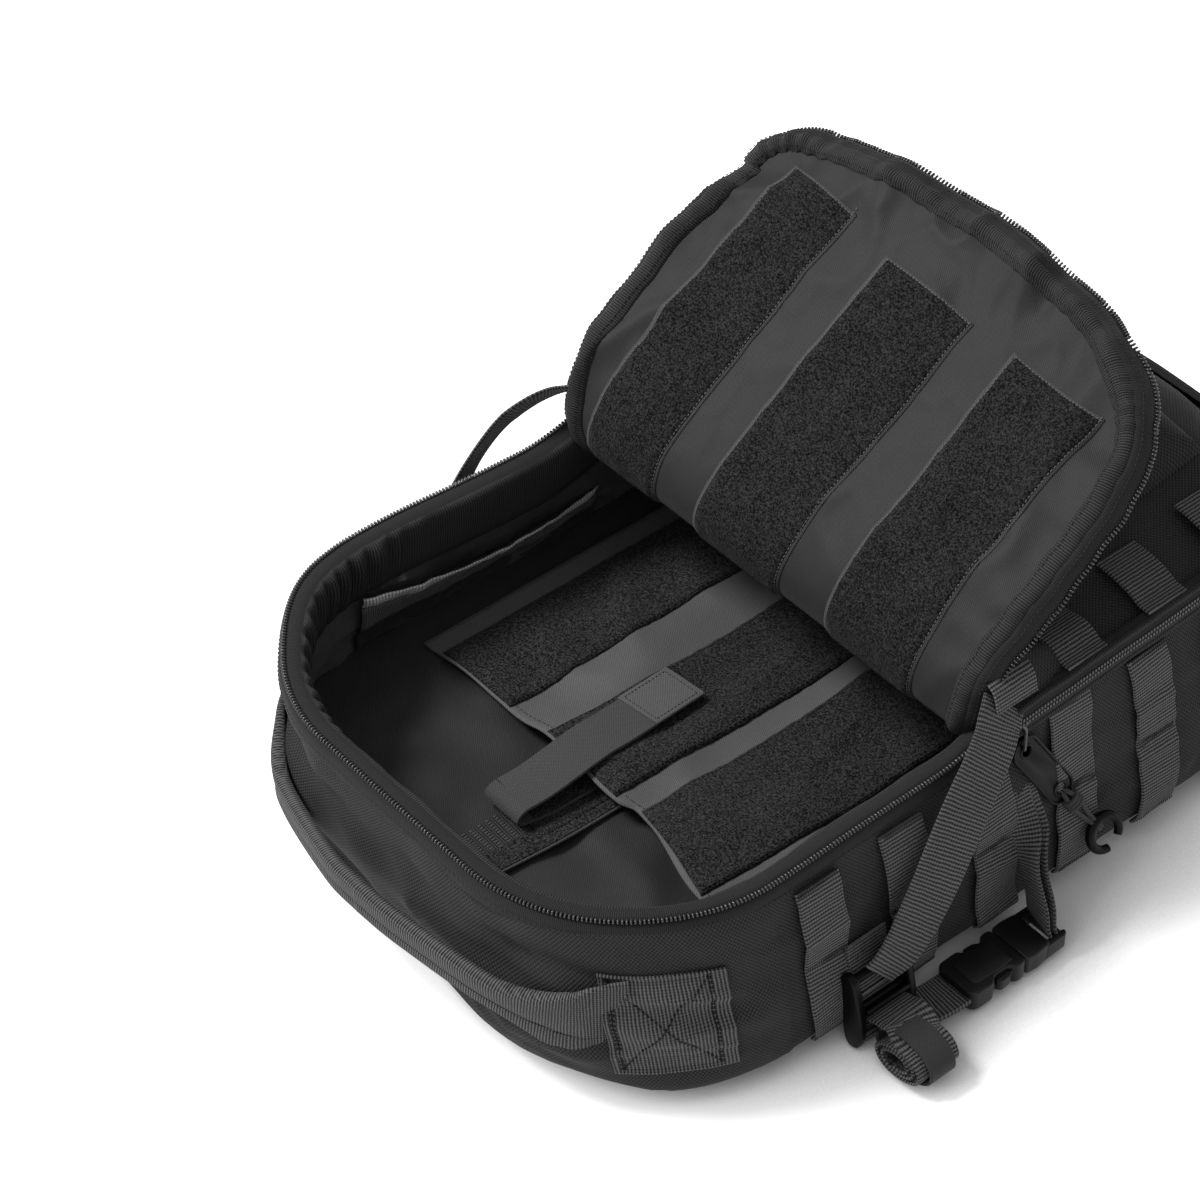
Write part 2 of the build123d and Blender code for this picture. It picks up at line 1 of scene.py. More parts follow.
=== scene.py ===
"""Looks of the trauma backpack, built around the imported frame.  Metres, in the frame's own axes."""
import bpy
import bmesh
import json
import math
from mathutils import Matrix, Vector, noise


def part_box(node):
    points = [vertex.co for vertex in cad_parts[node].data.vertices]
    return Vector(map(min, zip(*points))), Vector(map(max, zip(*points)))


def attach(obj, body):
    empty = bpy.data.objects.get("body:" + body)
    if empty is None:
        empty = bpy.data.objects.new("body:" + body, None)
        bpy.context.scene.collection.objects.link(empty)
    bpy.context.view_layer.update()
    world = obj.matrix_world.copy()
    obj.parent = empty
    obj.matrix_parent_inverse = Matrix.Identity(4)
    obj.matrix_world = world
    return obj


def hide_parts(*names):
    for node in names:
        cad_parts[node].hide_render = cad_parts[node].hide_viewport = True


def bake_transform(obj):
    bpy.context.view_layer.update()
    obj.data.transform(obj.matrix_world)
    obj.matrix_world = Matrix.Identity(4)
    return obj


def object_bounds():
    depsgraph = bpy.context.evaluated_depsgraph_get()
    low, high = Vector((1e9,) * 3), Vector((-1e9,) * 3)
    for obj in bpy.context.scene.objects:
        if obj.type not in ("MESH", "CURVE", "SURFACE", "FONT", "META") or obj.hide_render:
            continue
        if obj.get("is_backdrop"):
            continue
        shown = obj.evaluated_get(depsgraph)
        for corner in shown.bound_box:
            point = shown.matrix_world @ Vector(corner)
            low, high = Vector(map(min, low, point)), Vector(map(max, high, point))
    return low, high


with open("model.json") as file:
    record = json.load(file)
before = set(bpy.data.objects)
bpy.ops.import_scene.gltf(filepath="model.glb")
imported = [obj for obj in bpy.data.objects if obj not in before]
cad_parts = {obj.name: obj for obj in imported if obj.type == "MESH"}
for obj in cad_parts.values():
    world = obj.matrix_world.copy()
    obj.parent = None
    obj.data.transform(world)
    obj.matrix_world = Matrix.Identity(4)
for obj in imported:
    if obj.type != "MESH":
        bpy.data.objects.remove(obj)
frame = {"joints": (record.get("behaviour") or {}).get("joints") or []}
CAD_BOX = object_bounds()
MM = 0.001
TAU = 2 * math.pi
JOINT = {joint["name"]: joint for joint in frame["joints"]}

# ---------------------------------------------------------------- places read from the frame
TEETH_LOW, TEETH_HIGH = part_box("rim_zipper_teeth")
FOOT_LOW, FOOT_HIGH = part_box("back_panel")
RIM_HALF = TEETH_HIGH.x
RIM_TOP = TEETH_LOW.y
RIM_Z = TEETH_LOW.z
FOOT_HALF = FOOT_HIGH.x
FOOT_TOP = FOOT_LOW.y
FOOT_BOTTOM = FOOT_HIGH.y
RIM_BOTTOM = FOOT_BOTTOM - 4 * MM
FLOOR_Z = FOOT_HIGH.z
TOP_CORNER = 95 * MM
BOTTOM_CORNER = 50 * MM
FOLD_Y = 12 * MM
FOLD_Z = 98 * MM
WEB = 25.4 * MM


# ---------------------------------------------------------------- small helpers
def lerp(a, b, t):
    return a + (b - a) * t


def clamp(value, low=0.0, high=1.0):
    return max(low, min(high, value))


def smooth(t):
    t = clamp(t)
    return t * t * (3 - 2 * t)


def ramp(value, start, end):
    """Smooth step from 0 at start to 1 at end."""
    return smooth((value - start) / (end - start))


def rough(x, y, z=0.0):
    """Seedless smooth noise from about -1 to 1."""
    return noise.noise(Vector((x, y, z)))


def ridge(x, y, z=0.0):
    """Sharp creases of pressed or folded cloth, from about 0 to 1."""
    return (1 - min(1.0, abs(noise.noise(Vector((x, y, z)))) * 2.2)) ** 2


def steps(start, end, spacing):
    """Evenly spaced values from start to end, no further apart than spacing."""
    count = max(1, math.ceil(abs(end - start) / spacing))
    return [lerp(start, end, i / count) for i in range(count + 1)]


def link(obj):
    bpy.context.scene.collection.objects.link(obj)
    return obj


def bake(obj):
    """Apply every modifier on obj, leaving a plain mesh."""
    graph = bpy.context.evaluated_depsgraph_get()
    mesh = bpy.data.meshes.new_from_object(obj.evaluated_get(graph))
    obj.modifiers.clear()
    obj.data = mesh
    return obj


def mesh_piece(name, points, faces, material, uvs=None, shade=True):
    """A mesh object from points and faces, with a UV in metres for each point if given."""
    mesh = bpy.data.meshes.new(name)
    mesh.from_pydata([tuple(p) for p in points], [], faces)
    if uvs is not None:
        layer = mesh.uv_layers.new(name="UVMap")
        for loop in mesh.loops:
            layer.data[loop.index].uv = uvs[loop.vertex_index]
    if shade:
        mesh.polygons.foreach_set("use_smooth", [True] * len(mesh.polygons))
        mesh.set_sharp_from_angle(angle=math.radians(58))
    mesh.materials.append(material)
    mesh.update()
    return link(bpy.data.objects.new(name, mesh))


def lengths(points):
    """Running length along a line of points."""
    total = [0.0]
    for a, b in zip(points, points[1:]):
        total.append(total[-1] + (Vector(b) - Vector(a)).length)
    return total


def sheet_piece(name, rows, material, thick=0.0, closed=False):
    """A surface through a grid of points, with UVs in metres, and a thickness behind its front side."""
    height, width = len(rows), len(rows[0])
    middle = rows[height // 2]
    along = lengths(middle)
    across = lengths([row[width // 2] for row in rows])
    points = [p for row in rows for p in row]
    uvs = [(along[j], across[i]) for i in range(height) for j in range(width)]
    faces = []
    for i in range(height - 1):
        for j in range(width - 1):
            a = i * width + j
            faces.append((a, a + 1, a + width + 1, a + width))
    if closed:
        for i in range(height - 1):
            a = i * width + width - 1
            faces.append((a, i * width, (i + 1) * width, a + width))
    piece = mesh_piece(name, points, faces, material, uvs)
    if thick:
        solid = piece.modifiers.new("thickness", "SOLIDIFY")
        solid.thickness = thick
        solid.offset = -1
        solid.use_rim = True
        solid.use_even_offset = False
        bake(piece)
    return piece


def finish_piece(piece, body, slot, *nodes):
    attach(piece, body)
    if nodes:
        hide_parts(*nodes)
    return piece


def fold_piece(piece, slot, *nodes):
    """A piece that crosses the lid's fold: its nodes are hidden and its place is baked into its points, with no body,
    so it neither stays with the bag nor turns with the lid.
    """
    if nodes:
        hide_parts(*nodes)
    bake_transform(piece)
    return piece


# ---------------------------------------------------------------- materials
class Graph:
    """Short forms for building a material's nodes."""

    def __init__(self, name):
        self.material = bpy.data.materials.new(name)
        self.material.use_nodes = True
        self.tree = self.material.node_tree
        self.shader = self.tree.nodes["Principled BSDF"]

    def node(self, kind, **values):
        made = self.tree.nodes.new(kind)
        for key, value in values.items():
            setattr(made, key, value)
        return made

    def put(self, socket, value):
        if isinstance(value, bpy.types.NodeSocket):
            self.tree.links.new(value, socket)
        else:
            socket.default_value = value

    def math(self, operation, a, b=0.0, c=0.0):
        made = self.node("ShaderNodeMath", operation=operation)
        for socket, value in zip(made.inputs, (a, b, c)):
            self.put(socket, value)
        return made.outputs[0]

    def place(self, uv=True):
        kind = "UV" if uv else "Object"
        return self.node("ShaderNodeTexCoord").outputs[kind]

    def axes(self, vector):
        made = self.node("ShaderNodeSeparateXYZ")
        self.put(made.inputs[0], vector)
        return made.outputs[0], made.outputs[1], made.outputs[2]

    def noise(self, vector, scale, detail=3.0, roughness=0.55):
        made = self.node("ShaderNodeTexNoise")
        self.put(made.inputs["Vector"], vector)
        made.inputs["Scale"].default_value = scale
        made.inputs["Detail"].default_value = detail
        made.inputs["Roughness"].default_value = roughness
        return made.outputs["Fac"]

    def wave(self, value, pitch, phase=0.0):
        """Sine of a length, one turn in each pitch."""
        turned = self.math("MULTIPLY_ADD", value, TAU / pitch, phase)
        return self.math("SINE", turned)

    def blend(self, factor, low, high):
        made = self.node("ShaderNodeMix", data_type="RGBA")
        self.put(made.inputs["Factor"], factor)
        self.put(made.inputs["A"], (*low, 1.0))
        self.put(made.inputs["B"], (*high, 1.0))
        return made.outputs["Result"]

    def bump(self, height, distance, strength=1.0, normal=None):
        made = self.node("ShaderNodeBump")
        made.inputs["Strength"].default_value = strength
        made.inputs["Distance"].default_value = distance
        self.put(made.inputs["Height"], height)
        if normal is not None:
            self.put(made.inputs["Normal"], normal)
        return made.outputs["Normal"]

    def surface(self, color, roughness, normal=None, **fixed):
        self.put(self.shader.inputs["Base Color"], color)
        self.put(self.shader.inputs["Roughness"], roughness)
        if normal is not None:
            self.put(self.shader.inputs["Normal"], normal)
        for name, value in fixed.items():
            self.shader.inputs[name.replace("_", " ")].default_value = value
        return self.material


def grey(value, warm=0.0):
    return (value * (1 + warm), value, value * (1 - warm * 0.5))


def cloth(name, dark, light, pattern, pitch, relief=0.25 * MM, wear_and_sheen=0.25, sheen=0.12, roughness=0.82, shine=0.16):
    """Woven cloth: threads of one pitch as plain weave, ribs or twill, with uneven yarn and faint patchy tone, which
    is dirt, and on the lit wall lining also painted sheen.
    """
    g = Graph(name)
    uv = g.place()
    u, v, _ = g.axes(uv)
    wobble = g.math("MULTIPLY", g.noise(uv, 180.0), pitch * 0.5)
    u = g.math("ADD", u, wobble)
    if pattern == "plain":
        threads = g.math("MULTIPLY", g.wave(u, 2 * pitch), g.wave(v, 2 * pitch))
    elif pattern == "ribs":
        threads = g.wave(u, pitch)
        grain = g.wave(v, pitch * 0.8)
        threads = g.math("MULTIPLY_ADD", grain, 0.30, threads)
    else:
        diagonal = g.math("MULTIPLY_ADD", u, 0.7, v)
        threads = g.math("MULTIPLY", g.wave(diagonal, pitch), 0.55)
    level = g.math("MULTIPLY_ADD", threads, 0.5, 0.5)
    yarn = g.noise(uv, 900.0, 2.0)
    cloud = g.noise(uv, 14.0, 4.0)
    tone = g.math("MULTIPLY_ADD", yarn, 0.44, g.math("MULTIPLY_ADD", level, 0.80, -0.14))
    # patchy tone: dirt, and where it is strong a painted sheen
    tone = g.math("MULTIPLY_ADD", g.math("SUBTRACT", cloud, 0.5), wear_and_sheen, tone)
    color = g.blend(tone, grey(dark), grey(light))
    height = g.math("MULTIPLY_ADD", yarn, 0.25, level)
    normal = g.bump(height, relief, 0.8)
    gloss = g.math("MULTIPLY_ADD", cloud, 0.2, roughness - 0.1)
    return g.surface(color, gloss, normal, Sheen_Weight=sheen * 0.4, Specular_IOR_Level=shine)


def nap(name, dark, light):
    """Loop side of hook-and-loop tape: a dense felt of tiny curled loops with pale specks."""
    g = Graph(name)
    place = g.place(uv=False)
    fine = g.noise(place, 1150.0, 1.5, 0.7)
    coarse = g.noise(place, 560.0, 2.0, 0.6)
    patch = g.noise(place, 25.0, 3.0)
    tone = g.math("MULTIPLY_ADD", g.math("SUBTRACT", fine, 0.5), 3.4, 0.36)
    tone = g.math("MULTIPLY_ADD", g.math("SUBTRACT", coarse, 0.5), 1.3, tone)
    tone = g.math("MULTIPLY_ADD", g.math("SUBTRACT", patch, 0.5), 0.3, tone)
    color = g.blend(tone, grey(dark), grey(light))
    normal = g.bump(g.math("MULTIPLY_ADD", fine, 0.8, coarse), 0.6 * MM, 0.9)
    return g.surface(color, 0.95, normal, Sheen_Weight=0.03, Specular_IOR_Level=0.08)


def plastic(name, tone, roughness, coat=0.0, shine=0.28):
    """Moulded plastic with a fine texture, slight tone variation and rubbed edges."""
    g = Graph(name)
    place = g.place(uv=False)
    fine = g.noise(place, 1500.0, 2.0)
    cloud = g.noise(place, 60.0, 4.0)
    edge = g.node("ShaderNodeNewGeometry").outputs["Pointiness"]
    rubbed = g.math("MULTIPLY", g.math("SUBTRACT", edge, 0.52), 6.0)
    tone_mix = g.math("MULTIPLY_ADD", g.math("SUBTRACT", cloud, 0.5), 0.5, g.math("MAXIMUM", rubbed, 0.0))
    color = g.blend(tone_mix, grey(tone), grey(tone * 3.2))
    gloss = g.math("MULTIPLY_ADD", cloud, 0.16, roughness - 0.08)
    normal = g.bump(fine, 0.05 * MM, 0.5)
    return g.surface(color, gloss, normal, Coat_Weight=coat, Coat_Roughness=0.15, Specular_IOR_Level=shine)


def thread(name, tone):
    """Sewing thread, a little paler than the cloth."""
    g = Graph(name)
    place = g.place(uv=False)
    twist = g.noise(place, 2500.0, 1.0)
    color = g.blend(twist, grey(tone * 0.6), grey(tone * 1.4))
    return g.surface(color, 0.7, None, Sheen_Weight=0.04, Specular_IOR_Level=0.12)


SHELL = cloth("pack_cloth", 0.002, 0.036, "plain", 1.05 * MM, 0.45 * MM, sheen=0.05)
LINING = cloth("lining_cloth", 0.004, 0.028, "twill", 1.05 * MM, 0.14 * MM, wear_and_sheen=0.4, sheen=0.10, roughness=0.62)
# painted light: the sleeve's cloth is the lining cloth, painted brighter for the light that falls on the sleeve
LIT_SLEEVE_LINING = cloth("sleeve_cloth", 0.024, 0.104, "twill", 1.05 * MM, 0.14 * MM, wear_and_sheen=0.4, sheen=0.10,
                      roughness=0.62)
DARK_LINING = cloth("inner_cloth", 0.004, 0.032, "twill", 1.05 * MM, 0.14 * MM, wear_and_sheen=0.6, sheen=0.08, roughness=0.54)
# painted light: a copy of the lining cloth painted several times brighter, its strong patchy tone a painted sheen on
# the lit inner wall's wrinkles
LIT_WALL_LINING = cloth("wall_lining_cloth", 0.012, 0.075, "twill", 1.05 * MM, 0.14 * MM, wear_and_sheen=0.9, roughness=0.36,
                    shine=0.7)
WEBBING = cloth("webbing", 0.000, 0.110, "ribs", 1.8 * MM, 0.50 * MM, sheen=0.08)
HANDLE_WEB = cloth("handle_webbing", 0.002, 0.105, "ribs", 1.75 * MM, 0.50 * MM, sheen=0.08)
BINDING = cloth("binding_tape", 0.001, 0.036, "ribs", 1.3 * MM, 0.32 * MM, wear_and_sheen=0.5, sheen=0.05)
TAPE = cloth("zipper_tape", 0.003, 0.022, "ribs", 0.9 * MM, 0.15 * MM, sheen=0.05)
# painted highlight: the pocket's elastic edge is pale and shiny, and its colour is made brighter still to paint the
# bright line it shows while it sits in shade
ELASTIC_WITH_PAINTED_HIGHLIGHT = cloth("elastic_mesh", 0.110, 0.520, "ribs", 1.8 * MM, 0.2 * MM, sheen=0.3, roughness=0.36, shine=0.6)
MESH_PAD = cloth("pad_mesh", 0.008, 0.034, "plain", 1.3 * MM, 0.5 * MM, sheen=0.08)
TAB_CLOTH = cloth("tab_webbing", 0.014, 0.066, "plain", 0.60 * MM, 0.25 * MM, sheen=0.15)
TAB_PATCH = cloth("tab_patch_cloth", 0.026, 0.108, "plain", 0.60 * MM, 0.25 * MM, sheen=0.15)
KEEPER_CLOTH = cloth("keeper_tape", 0.010, 0.040, "plain", 0.5 * MM, 0.15 * MM, sheen=0.10)
LOOP = nap("loop_tape", 0.002, 0.038)
LID_LOOP = nap("lid_loop_tape", 0.001, 0.027)
POCKET_BAND = cloth("pocket_band_tape", 0.010, 0.120, "ribs", 1.3 * MM, 0.30 * MM, wear_and_sheen=0.4)
TOOTH = plastic("zipper_teeth", 0.022, 0.22, shine=0.5)
BUCKLE = plastic("buckle_plastic", 0.006, 0.30, shine=0.20)
PULL = plastic("pull_rubber", 0.0015, 0.36, shine=0.10)
METAL = plastic("slider_metal", 0.012, 0.28, coat=0.3)
CORD = cloth("cord", 0.012, 0.060, "plain", 0.5 * MM, 0.2 * MM)
THREAD = thread("sewing_thread", 0.085)
SOFT_THREAD = thread("tonal_thread", 0.020)
DARK_THREAD = thread("dark_thread", 0.003)
HANGER_THREAD = thread("hanger_thread", 0.045)


# ---------------------------------------------------------------- tub outline
def level(h):
    """Half width, top y, bottom y and the two corner radii of the tub at height share h."""
    return (lerp(FOOT_HALF, RIM_HALF, h), lerp(FOOT_TOP, RIM_TOP, h), lerp(FOOT_BOTTOM, RIM_BOTTOM, h),
            lerp(TOP_CORNER - 5 * MM, TOP_CORNER, h), lerp(BOTTOM_CORNER + 5 * MM, BOTTOM_CORNER, h))


def outline_stations(spacing):
    """Places round the outline, as (side, stretch, share), from the bottom end's middle round the top end."""
    half, top, bottom, top_r, bottom_r = level(1)
    sizes = (half - top_r, top_r * math.pi / 2, bottom - bottom_r - top - top_r, bottom_r * math.pi / 2,
             half - bottom_r)
    right = []
    for stretch, size in enumerate(sizes):
        for share in steps(0, 1, spacing / size)[:-1]:
            right.append((1, stretch, share))
    right.append((1, 4, 1.0))
    left = [(-1, stretch, share) for _, stretch, share in right[:0:-1]]
    return left + right


def outline_point(h, station, out=0.0):
    """Place and outward direction of a station at height share h, moved out by a distance."""
    side, stretch, share = station
    half, top, bottom, top_r, bottom_r = level(h)
    if stretch == 0:
        x, y, nx, ny = share * (half - top_r), top, 0, -1
    elif stretch == 1:
        turn = -math.pi / 2 + share * math.pi / 2
        nx, ny = math.cos(turn), math.sin(turn)
        x, y = half - top_r + top_r * nx, top + top_r + top_r * ny
    elif stretch == 2:
        x, y, nx, ny = half, lerp(top + top_r, bottom - bottom_r, share), 1, 0
    elif stretch == 3:
        turn = share * math.pi / 2
        nx, ny = math.cos(turn), math.sin(turn)
        x, y = half - bottom_r + bottom_r * nx, bottom - bottom_r + bottom_r * ny
    else:
        x, y, nx, ny = (1 - share) * (half - bottom_r), bottom, 0, 1
    return Vector((side * (x + nx * out), y + ny * out, 0)), Vector((side * nx, ny, 0))


SEAM_RISE = 12 * MM      # how much higher the side seam stands beyond the fold


def left_fullness(station):
    """How far the rim is pushed out past the left corner, beside the open compartment."""
    side, stretch, share = station
    if side > 0 or stretch not in (1, 2):
        return 0.0
    return 6 * MM * (ramp(share, 0.42, 0.85) if stretch == 1 else 1 - ramp(share, 0.0, 0.42))


def rim_height(place):
    """Height of the rim, which rises to the closed zipper beyond the fold and is a little uneven."""
    lift = SEAM_RISE * ramp(place.y, -20 * MM, 40 * MM)
    return RIM_Z + lift + 1.6 * MM * rough(place.x * 14, place.y * 14, 3.0)


def wall_point(station, h, out=0.0):
    """A point on the tub's wall: full and rounded at the foot, leaning in to the rim, with soft folds."""
    place, normal = outline_point(h, station, out)
    top_z = rim_height(place)
    z = lerp(3 * MM, top_z, h)
    tuck = -9 * MM * (1 - ramp(h, 0, 0.16)) ** 2
    belly = 5.5 * MM * math.sin(math.pi * clamp(h, 0, 1)) * (1 - 0.4 * h)
    fade = math.sin(math.pi * clamp(h, 0, 1)) ** 0.7
    straight = 1 if station[1] == 2 else 0
    end = ramp(-place.y, 105 * MM, 175 * MM)
    far = ramp(place.y, 150 * MM, 200 * MM)
    fold = (2.2 * MM + 2.6 * MM * max(end, far)) * rough(place.x * 16 + 5, place.y * 16, h * 2.2)
    fold += 2.0 * MM * rough(place.x * 38, place.y * 38 + 7, h * 5.0)
    fold += (1.2 * MM + 2.0 * MM * max(end, far)) * (ridge(place.x * 13 + h * 3, place.y * 13 + h * 2,
                                                           h * 3 + 4) - 0.3)
    fold += 1.8 * MM * straight * ramp(place.y, 5 * MM, 50 * MM) * (ridge(place.y * 30, h * 4.0, 11) - 0.3)
    fold += end * 9.5 * MM * rough(place.x * 20 + h * 3, place.y * 12 + 3, h * 3.4 + 9)
    fold -= end * 4.5 * MM * math.exp(-((h - 0.74) / 0.07) ** 2) * (0.6 + 0.6 * rough(place.x * 18, place.y * 18, 6))
    belly *= 1 - 0.55 * straight * (1 - max(end, far))
    belly += 2.2 * MM * straight * ramp(place.y, 72 * MM, 128 * MM) * math.sin(math.pi * clamp(h, 0, 1)) * (1.2 - h)
    belly += left_fullness(station) * ramp(h, 0.5, 1.0)
    if station[0] < 0 and station[1] == 1:
        belly -= 10.5 * MM * math.sin(math.pi * station[2]) * (1 - ramp(h, 0.86, 1.0))
    place = place + normal * (tuck + belly + fold * fade)
    place.z = z
    return place


def wall_shell():
    stations = outline_stations(3 * MM)
    rows = [[wall_point(s, h) for s in stations] for h in steps(0, 1, 0.026)]
    return sheet_piece("tub_shell", rows, SHELL, 1.2 * MM)


finish_piece(wall_shell(), "bag", "pack_cloth", "top_panel", "side_panel_left", "side_panel_right", "bottom_panel")


def lining_shell():
    """Inside of the tub: the walls, loose and wrinkled, from the rim down to near the floor."""
    stations = outline_stations(4 * MM)
    rows = []
    for h in steps(1.0, 0.17, 0.035):
        row = []
        for s in stations:
            place, normal = outline_point(h, s, -5 * MM + left_fullness(s) * ramp(h, 0.5, 1.0))
            z = lerp(3 * MM, rim_height(place), h) - 2 * MM
            crease = 3.4 * MM * rough(place.x * 26, place.y * 26, h * 4) + 2.2 * MM * rough(place.x * 60,
                    place.y * 60, h * 8)
            crease += 3.2 * MM * (ridge(place.x * 20, place.y * 20, h * 6 + 3) - 0.3)
            place = place - normal * (2.5 * MM + crease * math.sin(math.pi * clamp(h)))
            place.z = z
            row.append(place)
        rows.append(row)
    # the wall lining's material carries painted light and painted sheen
    return sheet_piece("tub_lining", [row[::-1] for row in rows], LIT_WALL_LINING)


def floor_lining():
    """Floor of the compartment: loose cloth over the back panel's padding, with soft hollows."""
    stations = outline_stations(5 * MM)
    rim = [outline_point(0.17, s, -7.5 * MM)[0] for s in stations]
    points, uvs, rows = [], [], 0
    for shrink in steps(1.0, 0.03, 0.025):
        rows += 1
        for p in rim:
            x, y = p.x * shrink, lerp(10 * MM, p.y, shrink)
            hold = 1 - shrink ** 8
            swell = 5.4 * MM * rough(x * 16 + 1, y * 13, 2) + 3.6 * MM * rough(x * 36, y * 30, 5)
            swell += 3.6 * MM * (ridge(x * 12 + 3, y * 15, 7) - 0.3) * ramp(-y, 60 * MM, 120 * MM)
            points.append(Vector((x, y, FLOOR_Z + 1.5 * MM + (1 - hold) * 3 * MM + max(-1.2 * MM,
                    swell * hold + 1.6 * MM))))
            uvs.append((x, y))
    many = len(rim)
    faces = [(i * many + j, (i + 1) * many + j, (i + 1) * many + (j + 1) % many, i * many + (j + 1) % many)
             for i in range(rows - 1) for j in range(many)]
    piece = mesh_piece("floor_lining", points, [face[::-1] for face in faces], DARK_LINING, uvs)
    return piece


finish_piece(lining_shell(), "bag", "lining_cloth", "back_panel")
finish_piece(floor_lining(), "bag", "lining_cloth")

# ---------------------------------------------------------------- ribbons, beads and stitches
def spline(points, spacing=2 * MM):
    """Smooth line through the points, finely divided."""
    pts = [Vector(p) for p in points]
    pts = [pts[0] * 2 - pts[1]] + pts + [pts[-1] * 2 - pts[-2]]
    line = []
    for a, b, c, d in zip(pts, pts[1:], pts[2:], pts[3:]):
        count = max(2, math.ceil((c - b).length / spacing))
        for i in range(count):
            t = i / count
            line.append(0.5 * ((2 * b) + (c - a) * t + (2 * a - 5 * b + 4 * c - d) * t * t
                               + (3 * b - a - 3 * c + d) * t * t * t))
    line.append(pts[-2])
    return line


def tangents(path):
    made = []
    for i in range(len(path)):
        before, after = path[max(i - 1, 0)], path[min(i + 1, len(path) - 1)]
        made.append((after - before).normalized())
    return made


def ribbon_parts(path, sides, width, thick):
    """Points, faces and UVs of webbing along a path; sides gives the direction across it."""
    w, t, e = width / 2, thick / 2, min(0.5 * MM, thick * 0.35)
    section = ((w, 0), (w - e, t), (w - 3 * e, t), (0, t), (3 * e - w, t), (e - w, t),
               (-w, 0), (e - w, -t), (3 * e - w, -t), (0, -t), (w - 3 * e, -t), (w - e, -t))
    many = len(section)
    along = lengths(path)
    points, uvs, faces = [], [], []
    for i, (p, run) in enumerate(zip(path, tangents(path))):
        side = Vector(sides[i]) if isinstance(sides, list) else Vector(sides)
        side = (side - run * side.dot(run)).normalized()
        up = side.cross(run).normalized()
        for x, z in section:
            points.append(p + side * x + up * z)
            uvs.append((along[i], x + (40 * MM if z < 0 else 0)))
    for i in range(len(path) - 1):
        for j in range(many):
            k = (j + 1) % many
            faces.append((i * many + j, i * many + k, (i + 1) * many + k, (i + 1) * many + j))
    last = (len(path) - 1) * many
    faces.append(tuple(range(many))[::-1])
    faces.append(tuple(last + j for j in range(many)))
    return points, faces, uvs


def tube_parts(path, radius, turns=10):
    """Round tube along a path."""
    points, uvs, faces = [], [], []
    along = lengths(path)
    last = None
    for i, (p, run) in enumerate(zip(path, tangents(path))):
        side = run.orthogonal() if last is None else last - run * last.dot(run)
        side.normalize()
        last = side
        up = run.cross(side)
        size = radius(i / (len(path) - 1)) if callable(radius) else radius
        for j in range(turns):
            a = TAU * j / turns
            points.append(p + side * size * math.cos(a) + up * size * math.sin(a))
            uvs.append((along[i], size * a))
    for i in range(len(path) - 1):
        for j in range(turns):
            k = (j + 1) % turns
            faces.append((i * turns + j, i * turns + k, (i + 1) * turns + k, (i + 1) * turns + j))
    faces.append(tuple(range(turns))[::-1])
    faces.append(tuple((len(path) - 1) * turns + j for j in range(turns)))
    return points, faces, uvs


def join_parts(parts):
    """One set of points, faces and UVs from several."""
    points, faces, uvs = [], [], []
    for more_points, more_faces, more_uvs in parts:
        start = len(points)
        points += more_points
        faces += [tuple(start + i for i in face) for face in more_faces]
        uvs += more_uvs
    return points, faces, uvs


def ribbons(name, strips, material):
    """One piece from several (path, sides, width, thickness) strips."""
    points, faces, uvs = join_parts([ribbon_parts(*strip) for strip in strips])
    return mesh_piece(name, points, faces, material, uvs)


def beads(name, places, material, turns=6, bands=3):
    """Small rounded beads, each given as (middle, half axis a, half axis b, half axis c)."""
    points, faces = [], []
    for middle, a, b, c in places:
        start = len(points)
        points.append(middle - c)
        for i in range(1, bands):
            lift = -math.cos(math.pi * i / bands)
            wide = math.sin(math.pi * i / bands) ** 0.6
            for j in range(turns):
                angle = TAU * j / turns
                points.append(middle + c * lift + (a * math.cos(angle) + b * math.sin(angle)) * wide)
        points.append(middle + c)
        top = len(points) - 1
        for j in range(turns):
            k = (j + 1) % turns
            faces.append((start, start + 1 + k, start + 1 + j))
            for i in range(bands - 2):
                low = start + 1 + i * turns
                faces.append((low + j, low + k, low + turns + k, low + turns + j))
            high = start + 1 + (bands - 2) * turns
            faces.append((high + j, high + k, top))
    return mesh_piece(name, points, faces, material)


def along_path(path, pitch):
    """Evenly spaced places on a line, as (point, direction)."""
    run = lengths(path)
    made, i = [], 0
    count = int(run[-1] / pitch)
    for n in range(count + 1):
        want = min(run[-1] - 1e-6, (n + 0.5) * pitch)
        while i < len(run) - 2 and run[i + 1] < want:
            i += 1
        share = clamp((want - run[i]) / max(run[i + 1] - run[i], 1e-9))
        made.append((lerp(path[i], path[i + 1], share), (path[i + 1] - path[i]).normalized()))
    return made


def surface_normal(surface, u, v):
    step = 0.7 * MM
    across = surface(u + step, v) - surface(u - step, v)
    up = surface(u, v + step) - surface(u, v - step)
    return across.cross(up).normalized()


def stitch_line(surface, corners, pitch=2.9 * MM, lift=0.15 * MM):
    """Stitches on a surface(u, v) along straight runs between (u, v) corners, as bead places."""
    made = []
    for (u0, v0), (u1, v1) in zip(corners, corners[1:]):
        run = [(lerp(u0, u1, t), lerp(v0, v1, t)) for t in steps(0, 1,
                                                                 2 * MM / max(math.dist((u0, v0), (u1, v1)), MM))]
        path = [surface(u, v) for u, v in run]
        total = lengths(path)[-1]
        for n, (p, direction) in enumerate(along_path(path, pitch)):
            share = clamp((n + 0.5) * pitch / max(total, 1e-6))
            up = surface_normal(surface, lerp(u0, u1, share), lerp(v0, v1, share))
            side = up.cross(direction).normalized()
            made.append((p + up * lift, side * 0.28 * MM, up * 0.26 * MM, direction * pitch * 0.36))
    return made


